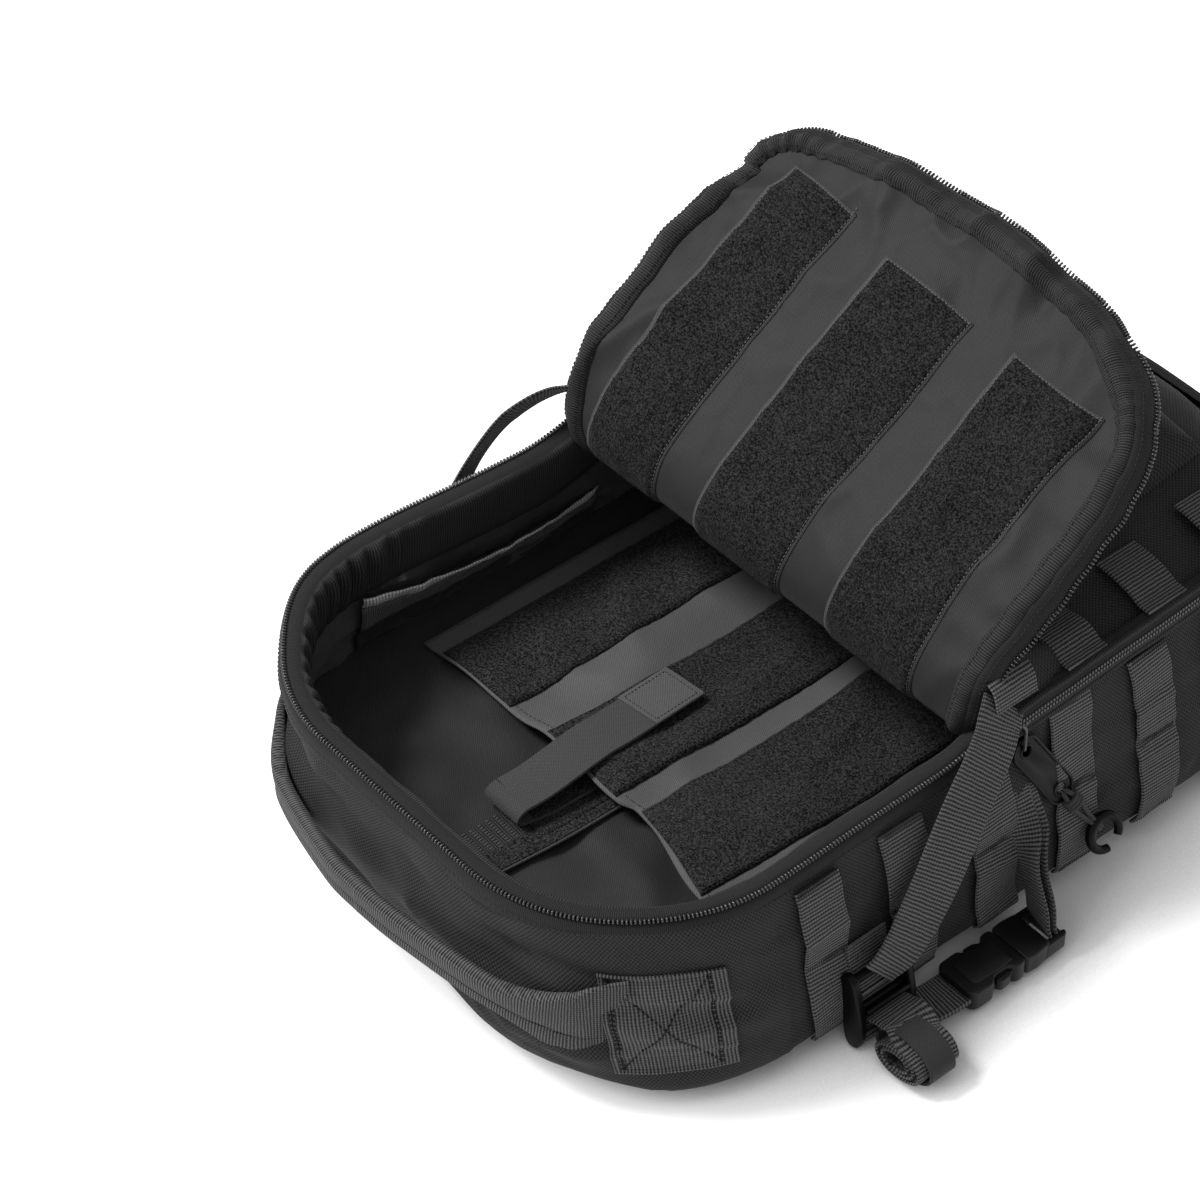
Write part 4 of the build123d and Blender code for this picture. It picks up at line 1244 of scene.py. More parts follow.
def lid_back_shape(x, s):
    """Outer cloth stands behind the lining, close to it at the edge."""
    left, right = lid_sides(s)
    edge = min(x + left, right - x, LID_TIP - s)
    return -5 * MM * ramp(edge, 0, 18 * MM) - 1.5 * MM * rough(x * 25, s * 25, 11)


fold_piece(lid_sheet("lid_outer_cloth", 0, -7.5 * MM, SHELL, lid_back_shape, 0.0, True), "pack_cloth")

# ---------------------------------------------------------------- lid's outer pocket
def pocket_depth(s):
    """The lid's outer pocket is a wedge, shallow at the fold and deep at the tip."""
    return lerp(6 * MM, 38 * MM, clamp((s - 25 * MM) / (165 * MM)))


def lid_pocket_face(x, s, lift=0.0):
    """Point on the outer pocket's cloth; lift is outward, away from the bag."""
    left, right = lid_sides(clamp(s, 0, LID_TIP - MM))
    edge = min(x + left - 17 * MM, right - 17 * MM - x, 192 * MM - s, s - 20 * MM)
    full = clamp(edge / (13 * MM)) ** 0.55
    puff = 5 * MM * math.sin(math.pi * clamp((x + left) / (left + right))) * full
    crease = (2.2 * MM * rough(x * 22, s * 22, 21) + 1.2 * MM * rough(x * 60, s * 50, 23)) * full
    return lid(x, s, -(12.5 * MM + pocket_depth(s) * full + puff + crease + lift))


def lid_pocket_pieces():
    rows, uvs = [], []
    arc = 62 * MM
    levels = steps(20 * MM, 192 * MM - arc, 3 * MM) + [192 * MM - arc + arc * math.sin(a)
                                                      for a in steps(0, math.pi / 2, 3 * MM / arc)][1:]
    for s in levels:
        over = max(0.0, s - (192 * MM - arc))
        cut = arc - math.sqrt(max(arc * arc - over * over, 0.0))
        row = []
        for k in [0, 0.004, 0.01, 0.018, 0.028, 0.04] + steps(0.055, 0.945, 0.015) + [0.96, 0.972, 0.982, 0.99, 0.996,
                1]:
            x = lerp(-LID_LEFT + 17 * MM + cut, LID_RIGHT - 17 * MM - cut, k)
            row.append(lid_pocket_cut(x, s, cut))
            uvs.append((x, s))
        rows.append(row)
    width = len(rows[0])
    points = [p for row in rows for p in row]
    faces = [(i * width + j, (i + 1) * width + j, (i + 1) * width + j + 1, i * width + j + 1)
             for i in range(len(rows) - 1) for j in range(width - 1)]
    finish_piece(mesh_piece("lid_pocket_cloth", points, faces, SHELL, uvs), "lid", "pack_cloth", "lid_pocket")
    strips, tacks = [], []
    for s in (192 * MM - 60 * MM, 192 * MM - 110 * MM):
        path = [lid_pocket_face(x, s, 1.6 * MM + 1.5 * MM * abs(math.sin(math.pi * (x + 100 * MM) / (50 * MM))))
                for x in steps(-100 * MM, 100 * MM, 3 * MM)]
        side = (lid(0, s + 5 * MM) - lid(0, s - 5 * MM)).normalized()
        strips.append((path, side, WEB, 1.7 * MM))
        for x in (-99 * MM, -50 * MM, 0, 50 * MM, 99 * MM):
            tacks += stitch_line(lambda a, b: lid_pocket_face(a, b, 2.7 * MM),
                                 [(x, s - 11 * MM), (x, s + 11 * MM)], 1.3 * MM, 0.5 * MM)
    finish_piece(ribbons("lid_webbing_rows", strips, WEBBING), "lid", "webbing", "lid_molle_rows")
    finish_piece(beads("lid_row_tacks", tacks, SOFT_THREAD, 5, 3), "lid", "webbing")
    zip_s = 192 * MM - 32 * MM
    line = [lid_pocket_face(x, zip_s, 1.0 * MM) for x in steps(-76 * MM, 76 * MM, 2 * MM)]
    side = (lid(0, zip_s + 5 * MM) - lid(0, zip_s - 5 * MM)).normalized()
    finish_piece(ribbons("lid_pocket_tape", [(line, side, 17 * MM, 1.2 * MM)], TAPE), "lid", "zipper_tape",
                 "lid_pocket_zipper")
    places = []
    for sign in (-1, 1):
        shifted = [p + side * sign * 1.25 * MM for p in line]
        for p, run in along_path(shifted, 1.7 * MM):
            up = side.cross(run).normalized()
            if up.z > 0:
                up = -up
            places.append((p + up * 1.0 * MM, side * 1.15 * MM, up * 0.7 * MM, run * 0.65 * MM))
    finish_piece(beads("lid_pocket_teeth", places, TOOTH, 6, 3), "lid", "zipper_teeth")


def lid_pocket_cut(x, s, cut):
    left, right = LID_LEFT - cut, LID_RIGHT - cut
    edge = min(x + left - 17 * MM, right - 17 * MM - x, 192 * MM - s, s - 20 * MM)
    full = clamp(edge / (13 * MM)) ** 0.55
    puff = 5 * MM * math.sin(math.pi * clamp((x + left) / (left + right))) * full
    crease = (2.2 * MM * rough(x * 22, s * 22, 21) + 1.2 * MM * rough(x * 60, s * 50, 23)) * full
    return lid(x, s, -(12.5 * MM + pocket_depth(s) * full + puff + crease))


lid_pocket_pieces()

# ---------------------------------------------------------------- closed front half
FRONT_END = 234 * MM
SEAM_HALF = 147 * MM


def seam_height(y):
    """Height of the closed side seam, rising gently from the slider towards the bottom end."""
    return 113 * MM + 0.055 * (clamp(y, 10 * MM, 190 * MM) - 24 * MM)


def front(x, y, lift=0.0):
    """Top of the closed front half: hollow at the fold, high at the fold's corners, crowned further back."""
    u = clamp(abs(x) / SEAM_HALF, 0, 1)
    end = clamp((FRONT_END - y) / (46 * MM))
    shoulder = math.sqrt(clamp(1 - (1 - end) ** 2))
    crown = lerp(-13 * MM, 22 * MM, ramp(y, 14 * MM, 90 * MM)) + 7 * MM * ramp(y, 80 * MM, 190 * MM)
    body = crown * (1 - u * u) ** (0.75 if crown > 0 else 1.0)
    corner = 31 * MM * (1 - ramp(y, 18 * MM, 84 * MM)) * math.exp(-((abs(x) - 133 * MM) / (13 * MM)) ** 2)
    fade = (1 - u ** 6)
    crease = (3.0 * MM * rough(x * 15 + 2, y * 15, 31) + 1.7 * MM * rough(x * 42, y * 42, 33)) * fade
    crease += 2.4 * MM * (ridge(x * 14, y * 18 + 3, 35) - 0.3) * fade
    z = seam_height(y) * 1.0 + (body + crease) * shoulder + corner - (1 - shoulder) * 6 * MM
    return Vector((x, y, z + lift))


def front_rows():
    rows, uvs = [], []
    shares = [-math.cos(math.pi * i / 90) for i in range(91)]
    for y in steps(15 * MM, 200 * MM, 4 * MM) + [200 * MM + 34 * MM * math.sin(a) for a in steps(0, math.pi / 2,
            0.12)][1:]:
        over = clamp((y - (FRONT_END - BOTTOM_CORNER)) / BOTTOM_CORNER)
        half = SEAM_HALF - BOTTOM_CORNER * (1 - math.sqrt(clamp(1 - over * over)))
        row = []
        for share in shares:
            x = share * half
            p = front(x * SEAM_HALF / half, y)
            p.x = x
            row.append(p)
            uvs.append((x, y))
        rows.append(row)
    return rows, uvs


def grid_piece(name, rows, uvs, material, thick=0.0):
    width = len(rows[0])
    points = [p for row in rows for p in row]
    faces = [(i * width + j, i * width + j + 1, (i + 1) * width + j + 1, (i + 1) * width + j)
             for i in range(len(rows) - 1) for j in range(width - 1)]
    piece = mesh_piece(name, points, faces, material, uvs)
    if thick:
        solid = piece.modifiers.new("thickness", "SOLIDIFY")
        solid.thickness = thick
        solid.offset = -1
        bake(piece)
    return piece


rows, uvs = front_rows()
finish_piece(grid_piece("front_cloth", rows, uvs, SHELL, 1.2 * MM), "bag", "pack_cloth", "front_gusset",
             "front_panel")

POCKET_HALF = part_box("front_pocket")[1].x


def front_pocket_face(x, y, lift=0.0):
    edge = min(POCKET_HALF - abs(x), y - 70 * MM, 196 * MM - y)
    full = clamp(edge / (12 * MM)) ** 0.5
    crease = 1.6 * MM * rough(x * 24, y * 24, 41) * full
    return front(x, y, 0.5 * MM + 10 * MM * full + crease + lift)


def front_pocket_pieces():
    rows, uvs = [], []
    for y in steps(70 * MM, 196 * MM, 3 * MM):
        row = []
        for x in steps(-POCKET_HALF, POCKET_HALF, 3 * MM):
            row.append(front_pocket_face(x, y))
            uvs.append((x, y))
        rows.append(row)
    finish_piece(grid_piece("front_pocket_cloth", rows, uvs, SHELL), "bag", "pack_cloth", "front_pocket")
    strips = []
    for y in (120 * MM, 168 * MM):
        path = [front_pocket_face(x, y, 1.5 * MM + 1.6 * MM * abs(math.sin(math.pi * (x + 84 * MM) / (42 * MM))))
                for x in steps(-84 * MM, 84 * MM, 3 * MM)]
        side = (front(0, y + 4 * MM) - front(0, y - 4 * MM)).normalized()
        strips.append((path, side, WEB, 1.7 * MM))
    finish_piece(ribbons("front_webbing_rows", strips, WEBBING), "bag", "webbing", "molle_front_rows")
    y = 88 * MM
    line = [front_pocket_face(x, y, 1.0 * MM) for x in steps(-72 * MM, 72 * MM, 2 * MM)]
    side = (front(0, y + 4 * MM) - front(0, y - 4 * MM)).normalized()
    finish_piece(ribbons("front_pocket_tape", [(line, side, 16 * MM, 1.2 * MM)], TAPE), "bag", "zipper_tape",
                 "front_pocket_zipper")
    places = []
    for sign in (-1, 1):
        for p, run in along_path([p + side * sign * 1.25 * MM for p in line], 1.7 * MM):
            up = run.cross(side).normalized()
            up = up if up.z > 0 else -up
            places.append((p + up * 0.9 * MM, side * 1.15 * MM, up * 0.7 * MM, run * 0.65 * MM))
    finish_piece(beads("front_pocket_teeth", places, TOOTH, 6, 3), "bag", "zipper_teeth")


front_pocket_pieces()


# closed stretch of the main zipper, round the front half's seam
def seam_run(spacing=2 * MM):
    """The closed seam from the right slider round the bottom end to the left one, as (place, outward)."""
    half, end, radius = SEAM_HALF, FRONT_END + 2 * MM, BOTTOM_CORNER
    run = [(Vector((half, y, 0)), Vector((1, 0, 0))) for y in steps(24 * MM, end - radius, spacing)]
    for a in steps(0, math.pi / 2, spacing / radius)[1:]:
        out = Vector((math.cos(a), math.sin(a), 0))
        run.append((Vector((half - radius, end - radius, 0)) + out * radius, out))
    run += [(Vector((x, end, 0)), Vector((0, 1, 0))) for x in steps(half - radius, 0, spacing)[1:]]
    run += [(Vector((-p.x, p.y, 0)), Vector((-o.x, o.y, 0))) for p, o in run[-2::-1]]
    for p, _ in run:
        p.z = seam_height(p.y) - 1.5 * MM + 0.8 * MM * rough(p.x * 20, p.y * 20, 51)
    return run


def seam_pieces():
    run = seam_run()
    tape, piping = [], []
    for out_by, rise in mm((-3.0, 8.6), (0.4, 7.6), (1.6, 4.6), (2.3, 2.2), (2.5, 0), (2.5, -2.2), (2.4, -4.6),
                           (1.4, -7.8), (-2.0, -9.4)):
        tape.append([p + o * out_by + Vector((0, 0, rise)) for p, o in run])
    finish_piece(sheet_piece("seam_tape", tape, TAPE, 0.6 * MM), "bag", "zipper_tape", "side_zipper_chains")
    places = []
    for rise in (1.35 * MM, -1.35 * MM):
        line = [p + o * 3.1 * MM + Vector((0, 0, rise)) for p, o in run]
        for p, direction in along_path(line, 1.9 * MM):
            out = direction.cross(Vector((0, 0, 1))).normalized()
            places.append((p, out * 1.0 * MM, Vector((0, 0, 1.3 * MM)), direction * 0.72 * MM))
    finish_piece(beads("seam_teeth", places, TOOTH, 6, 4), "bag", "zipper_teeth")
    for rise in (7.2 * MM, -7.6 * MM):
        path = [p + o * 1.6 * MM + Vector((0, 0, rise + 0.8 * MM * rough(p.x * 50, p.y * 50, rise * 90))) for p,
                o in run]
        piping.append(tube_parts(path, 1.7 * MM, 8))
    points, faces, uvs = join_parts(piping)
    finish_piece(mesh_piece("seam_piping", points, faces, BINDING, uvs), "bag", "binding_tape")


seam_pieces()


# ---------------------------------------------------------------- webbing on the outside walls
def side_wall(y, h, side, out=0.0):
    """Point on the tub's side wall at y and height share h."""
    start, end = FOOT_TOP + TOP_CORNER, FOOT_BOTTOM - BOTTOM_CORNER
    share = (y - start) / (end - start)
    return wall_point((side, 2, clamp(share)), h, out)


SIDE_ROWS = [(-92.5 + 51.5 * i) * MM for i in range(6)]


def webbing_rows():
    strips, tacks = [], []
    for side in (-1, 1):
        for n, y in enumerate(SIDE_ROWS):
            path = []
            for h in steps(0.07, 0.93, 0.02):
                upper = h > 0.5
                bulge = (1.6 + 1.6 * rough(n * 3.7 + side, 5.0 * upper)) * MM
                lift = 1.6 * MM + bulge * abs(math.sin(math.pi * (h - 0.07) / 0.43)) ** 0.8
                path.append(side_wall(y + 3.0 * MM * rough(n + 0.4, h * 3 + side), h, side, lift))
            turns = [Vector((0.10 * rough(n * 2.3, h * 4, 5) * side, side,
                             0.05 * rough(n, h * 3, 9))) for h in steps(0.07, 0.93, 0.02)]
            strips.append((path, turns, WEB, 1.7 * MM))
            for h in (0.09, 0.50, 0.915):
                for row in (0, 0.016):
                    line = [side_wall(y + k, h + row, side, 3.0 * MM) for k in steps(-11.5 * MM, 11.5 * MM, 2 * MM)]
                    for p, run in along_path(line, 1.3 * MM):
                        tacks.append((p, Vector((side * 0.35, 0, 0)) * MM, Vector((0, 0, 0.9)) * MM, run * 0.4 * MM))
    finish_piece(ribbons("side_webbing_rows", strips, WEBBING), "bag", "webbing", "molle_side_rows")
    finish_piece(beads("side_row_tacks", tacks, SOFT_THREAD, 5, 3), "bag", "webbing")
    strips = []
    for side in (-1, 1):
        for n, y in enumerate(SIDE_ROWS[2:]):
            path = []
            y += 8 * MM if n else 14 * MM
            reach = 112 * MM if n else 139 * MM
            for t in steps(0, 1, 0.08):
                x = lerp(146.5 * MM, reach, t)
                lift = 1.4 * MM + 2.0 * MM * math.sin(math.pi * t)
                p = front(x, y, lift)
                p.x = side * (x + 0.6 * lift)
                p.z = max(p.z, seam_height(y) + 7.4 * MM)
                path.append(p)
            strips.append((path, Vector((0, side, 0)), WEB, 1.7 * MM))
    finish_piece(ribbons("gusset_webbing_rows", strips, WEBBING), "bag", "webbing", "molle_gusset_rows")


webbing_rows()


# ---------------------------------------------------------------- carrying handle
def sweep_parts(path, sides, section):
    """Solid along a path; section(t) gives its outline as (across, up) places."""
    points, uvs, faces = [], [], []
    along = lengths(path)
    many = len(section(0))
    for i, (p, run) in enumerate(zip(path, tangents(path))):
        side = Vector(sides[i]) if isinstance(sides, list) else Vector(sides)
        side = (side - run * side.dot(run)).normalized()
        up = side.cross(run).normalized()
        for x, z in section(i / (len(path) - 1)):
            points.append(p + side * x + up * z)
            uvs.append((along[i], x))
    for i in range(len(path) - 1):
        for j in range(many):
            k = (j + 1) % many
            faces.append((i * many + j, i * many + k, (i + 1) * many + k, (i + 1) * many + j))
    faces.append(tuple(range(many))[::-1])
    faces.append(tuple((len(path) - 1) * many + j for j in range(many)))
    return points, faces, uvs


GRIP_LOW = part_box("handle_grip")[0]


def corner_wall(turn, h, side, out=0.0):
    """Point on the top end's rounded corner: turn 0 faces the top end, 1 faces the side."""
    return wall_point((side, 1, clamp(turn)), h, out)


def handle_patch(side):
    """End of the handle, sewn flat on the corner with a boxed cross."""
    def sewn(t, h):
        """How deep the boxed cross pulls the webbing in."""
        u, v = (t - 0.600) / 0.145, (h - 0.49) / 0.245
        near = min(abs(u - v), abs(u + v), abs(abs(u) - 1), abs(abs(v) - 1)) if max(abs(u), abs(v)) < 1.06 else 1.0
        return 0.7 * MM * math.exp(-(near / 0.085) ** 2)
    rows = []
    for h in steps(0.22, 0.76, 0.009):
        bar = 0.5 * MM if abs(abs(h - 0.49) - 0.15) < 0.02 else 0.0
        rows.append([corner_wall(t, h, side, 1.9 * MM + bar - sewn(t, h)) for t in steps(0.43, 0.80, 0.0075)])
    edge_rows = rows if side > 0 else [row[::-1] for row in rows]
    piece = sheet_piece("handle_patch_" + ("right" if side > 0 else "left"), edge_rows, HANDLE_WEB, 1.5 * MM)
    finish_piece(piece, "bag", "webbing", "handle_ends")
    corners = [(0.455, 0.245), (0.745, 0.245), (0.745, 0.735), (0.455, 0.735), (0.455, 0.245)]
    runs = [(corners[0], corners[2]), (corners[1], corners[3])]
    for t in (0.450, 0.456, 0.462, 0.744, 0.750, 0.775):
        runs.append(((t, 0.235), (t, 0.745)))
    places = []
    for (t0, h0), (t1, h1) in runs:
        line = [corner_wall(lerp(t0, t1, k), lerp(h0, h1, k), side, 1.6 * MM) for k in steps(0, 1, 0.02)]
        for p, run in along_path(line, 2.5 * MM):
            out = (p - Vector((side * 50 * MM, -110 * MM, p.z))).normalized()
            across = run.cross(out).normalized()
            places.append((p, across * 0.38 * MM, out * 0.38 * MM, run * 1.0 * MM))
    finish_piece(beads("handle_stitches_" + ("right" if side > 0 else "left"), places, DARK_THREAD, 5, 3), "bag",
                 "webbing")


def handle_half(side):
    """Half of the grip: wide and flat at the patch, folded double with a rolled top towards the middle."""
    path = spline([corner_wall(0.49, 0.49, side, -5.0 * MM), corner_wall(0.45, 0.49, side, -2.6 * MM),
                   corner_wall(0.40, 0.49, side, 0.6 * MM), corner_wall(0.31, 0.49, side, 3.8 * MM),
                   corner_wall(0.10, 0.52, side, 4.5 * MM if side < 0 else 7 * MM),
                   Vector((side * 26 * MM, GRIP_LOW.y + 7 * MM, 56 * MM)),
                   Vector((-side * 0.4 * MM, GRIP_LOW.y + 5 * MM, 57 * MM))], 2 * MM)

    def section(t):
        wide = lerp(52 * MM, 17.5 * MM, smooth(clamp((t - 0.03) / 0.44))) / 2
        fold = 1.3 * MM + 2.4 * MM * smooth(clamp((t - 0.05) / 0.35))
        low = 1.2 * MM + 1.2 * MM * smooth(clamp(t / 0.35))
        slit = 0.9 * MM * smooth(clamp((t - 0.05) / 0.2))
        front = [(-wide, 0), (-wide + 0.6 * MM, low), (-wide + 2.2 * MM, low * 1.15), (-wide * 0.30 - 0.7 * MM, low),
                 (-wide * 0.30, low - slit), (-wide * 0.30 + 0.9 * MM, fold * 0.75), (wide * 0.4, fold * 0.95),
                 (wide - 2.0 * MM, fold), (wide - 0.7 * MM, fold * 0.75), (wide, 0)]
        return front + [(x, -z) for x, z in front[-2:0:-1]]
    points, faces, uvs = sweep_parts(path, Vector((0, 0, 1)), section)
    name = "handle_grip_" + ("right" if side > 0 else "left")
    piece = mesh_piece(name, points, faces, HANDLE_WEB, [(u * 1.25, v) for u, v in uvs])
    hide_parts("handle_grip")
    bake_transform(piece)
    line = [p + Vector((0, -3.3 * MM, 5.2 * MM)) for p in path[int(len(path) * 0.4):]]
    places = []
    for p, run in along_path(line, 2.8 * MM):
        places.append((p, Vector((0, 0, 0.28 * MM)), Vector((0, -0.4 * MM, 0)), run * 1.0 * MM))
    seam = beads("handle_seam_" + ("right" if side > 0 else "left"), places, SOFT_THREAD, 5, 3)
    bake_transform(seam)


for side in (-1, 1):
    handle_patch(side)
    handle_half(side)


# ---------------------------------------------------------------- moulded hardware
def slab(name, outline, low, high, axes, material, bevel=1.0 * MM, segments=3):
    """Moulded plate: an outline in two axes, as deep as low to high in the third, with rounded edges."""
    origin, a, b, c = axes
    mesh = bmesh.new()
    for depth in (low, high):
        for u, v in outline:
            mesh.verts.new(origin + a * u + b * v + c * depth)
    verts = list(mesh.verts)
    many = len(outline)
    mesh.faces.new(verts[:many][::-1])
    mesh.faces.new(verts[many:])
    for i in range(many):
        k = (i + 1) % many
        mesh.faces.new((verts[i], verts[k], verts[many + k], verts[many + i]))
    bmesh.ops.recalc_face_normals(mesh, faces=mesh.faces)
    data = bpy.data.meshes.new(name)
    mesh.to_mesh(data)
    mesh.free()
    data.materials.append(material)
    obj = link(bpy.data.objects.new(name, data))
    if bevel:
        edge = obj.modifiers.new("edges", "BEVEL")
        edge.width = bevel
        edge.segments = segments
        edge.limit_method = "ANGLE"
        edge.angle_limit = math.radians(25)
        edge.harden_normals = False
    bake(obj)
    obj.data.polygons.foreach_set("use_smooth", [True] * len(obj.data.polygons))
    obj.data.set_sharp_from_angle(angle=math.radians(32))
    return obj


def joined(name, pieces):
    """One object from several."""
    mesh = bmesh.new()
    for piece in pieces:
        mesh.from_mesh(piece.data)
    data = bpy.data.meshes.new(name)
    mesh.to_mesh(data)
    mesh.free()
    data.materials.append(pieces[0].data.materials[0])
    for piece in pieces:
        bpy.data.objects.remove(piece)
    data.polygons.foreach_set("use_smooth", [True] * len(data.polygons))
    data.set_sharp_from_angle(angle=math.radians(32))
    return link(bpy.data.objects.new(name, data))


def rounded(points, radius, arc=4):
    """Outline with rounded corners."""
    made = []
    many = len(points)
    for i in range(many):
        p, q, r = (Vector((*points[(i + k) % many], 0)) for k in (-1, 0, 1))
        size = min(radius, (p - q).length * 0.45, (r - q).length * 0.45)
        a, b = q + (p - q).normalized() * size, q + (r - q).normalized() * size
        for j in range(arc + 1):
            t = j / arc
            corner = a.lerp(q, t).lerp(q.lerp(b, t), t)
            made.append((corner.x, corner.y))
    return made


def rod(name, start, end, radius, material):
    points, faces, uvs = tube_parts([lerp(start, end, t) for t in (0, 0.5, 1)], radius, 14)
    return mesh_piece(name, points, faces, material, uvs)


def P(x, y, z, side=1):
    return Vector((side * x, y, z)) * MM


LOCK_Y = -75


def ladder_lock(side):
    tag = "right" if side > 0 else "left"
    axes = (Vector((0, LOCK_Y * MM, 0)), Vector((side, 0, 0)), Vector((0, 0, 1)), Vector((0, 1, 0)))
    cheek = rounded(mm((160.8, 37.5), (164.5, 43.5), (171.0, 43.0), (174.0, 33), (177.5, 20), (178.4, 8),
                       (175.5, 1.6), (170, 1.2),
                       (167.0, 6), (164.6, 20)), 3 * MM)
    pieces = [slab("cheek", cheek, low * MM, high * MM, axes, PULL, 1.3 * MM) for low,
              high in ((-17.6, -13.2), (13.2, 17.6))]
    for x, z, r in ((167.0, 37.5, 2.2), (170.6, 21.0, 2.2), (173.4, 6.5, 2.4)):
        pieces.append(rod("bar", P(x, LOCK_Y - 14, z, side), P(x, LOCK_Y + 14, z, side), r * MM, PULL))
    lip = rounded(mm((172.0, 22.5), (176.5, 25.5), (177.8, 24.0), (173.5, 19.0)), 1 * MM)
    pieces.append(slab("lip", lip, -12.8 * MM, 12.8 * MM, axes, PULL, 0.4 * MM, 2))
    finish_piece(joined("ladder_lock_" + tag, pieces), "bag", "buckle_plastic", "ladder_locks")


def upper_strap(side):
    tag = "right" if side > 0 else "left"
    top = [P(144.5, 19, 125, side), P(149, 12, 120.3, side), P(153.5, 4, 113, side), P(160.5, -17, 95, side),
           P(168, -42, 68, side)]
    if side < 0:
        top = [P(144, 16, 125, side), P(151, 7, 123, side), P(156, -6, 119, side),
               P(161, -19, 109.5, side), P(165, -33, 92, side), P(169, -46, 68, side)]
    path = spline(top + [P(172.0, -61, 49.5, side), P(172.2, -70, 42.0, side), P(170.5, -76, 37.0, side)])
    sides = []
    runs = tangents(path)
    flat = int(len(path) * 0.28)
    for i, run in enumerate(runs):
        t = max(i, flat) / (len(path) - 1)
        run = runs[max(i, flat)]
        out = Vector((side, -0.34 * math.sin(math.pi * clamp(t * 1.05)), 0.22 + 0.10 * math.sin(math.pi * t)))
        wanted = out.cross(run).normalized()
        if wanted.y < 0:
            wanted = -wanted
        sides.append(wanted.lerp(Vector((0, 1, 0)), 0.35 * ramp(t, 0.75, 1.0)).normalized())
    lock_path = spline([P(169.2, -75, 27, side), P(166.5, -75, 22.5, side), P(169.6, -75, 18.2, side),
                        P(174.8, -75, 18.8, side),
                        P(180, -75, 20.5, side), P(187, -75, 22.0, side)])
    hang = spline([P(159.5, -75, 52, side), P(161.8, -75, 42, side), P(165.5, -75, 32, side),
                   P(171.5, -75, 10.4, side),
                   P(175.6, -75, 8.2, side), P(175.8, -75, 4.6, side), P(171.8, -75, 3.4, side),
                   P(167.5, -75, 9, side),
                   P(161.0, -75, 26, side)])
    finish_piece(ribbons("upper_strap_" + tag, [(path, sides, WEB, 1.6 * MM)], WEBBING), "bag", "webbing",
                 "upper_straps")
    finish_piece(ribbons("lock_strap_" + tag, [(hang, Vector((0, 1, 0)), WEB - 0.8 * MM, 1.5 * MM),
                                               (lock_path, Vector((0, 1, 0)), WEB - 0.6 * MM, 1.5 * MM)], WEBBING),
                 "bag", "webbing", "lock_webbing")


def rolled_tail(side):
    """Spare end of the strap, rolled up, fuzzy inside, with a wide plain keeper round it."""
    tag = "right" if side > 0 else "left"
    path = []
    lead = [P(184.5, LOCK_Y, 22.2, side), P(190, LOCK_Y, 22.6, side)]
    turns = 2.6
    for i in range(int(turns * 26) + 1):
        a = math.pi / 2 - TAU * i / 26
        shrink = 1 - 0.62 * i / (turns * 26)
        flat = 0.92 + 0.05 * math.sin(a * 2)
        path.append(P(198 + 15.2 * shrink * math.cos(a), LOCK_Y - 3 + 0.4 * math.sin(a),
                      12.0 + 9.6 * flat * shrink * math.sin(a), side))
    path = spline(lead + path[::2], 1.5 * MM)
    outer = ribbons("tail_roll_" + tag, [(path, Vector((0, 1, 0)), WEB, 1.5 * MM)], WEBBING)
    finish_piece(outer, "tail_" + tag, "webbing", "strap_tail_" + tag)
    shift = []
    for p, run in zip(path, tangents(path)):
        up = Vector((0, 1, 0)).cross(run).normalized()
        inward = (P(198, LOCK_Y - 3, 12, side) - p)
        up = up if up.dot(inward) > 0 else -up
        shift.append(p + up * 1.45 * MM)
    fuzzy = ribbons("tail_loop_face_" + tag, [(shift[int(len(shift) * 0.12):], Vector((0, 1, 0)), WEB - 1.5 * MM,
                                               1.4 * MM)], LOOP)
    finish_piece(fuzzy, "tail_" + tag, "loop_tape")
    ring = []
    for i in range(41):
        a = math.pi * 0.86 - TAU * 0.94 * i / 40
        wide = 17.0 + 0.9 * (i / 40)
        ring.append(P(198 + wide * math.cos(a), LOCK_Y - 3, 12.6 + (10.9 + 0.9 * (i / 40)) * math.sin(a), side))
    keeper = ribbons("tail_keeper_band_" + tag, [(spline(ring[::2], 2 * MM), Vector((0, 1, 0)), 15.5 * MM, 1.5 * MM)],
                     KEEPER_CLOTH)
    finish_piece(keeper, "tail_" + tag, "loop_tape", "tail_keeper_" + tag)


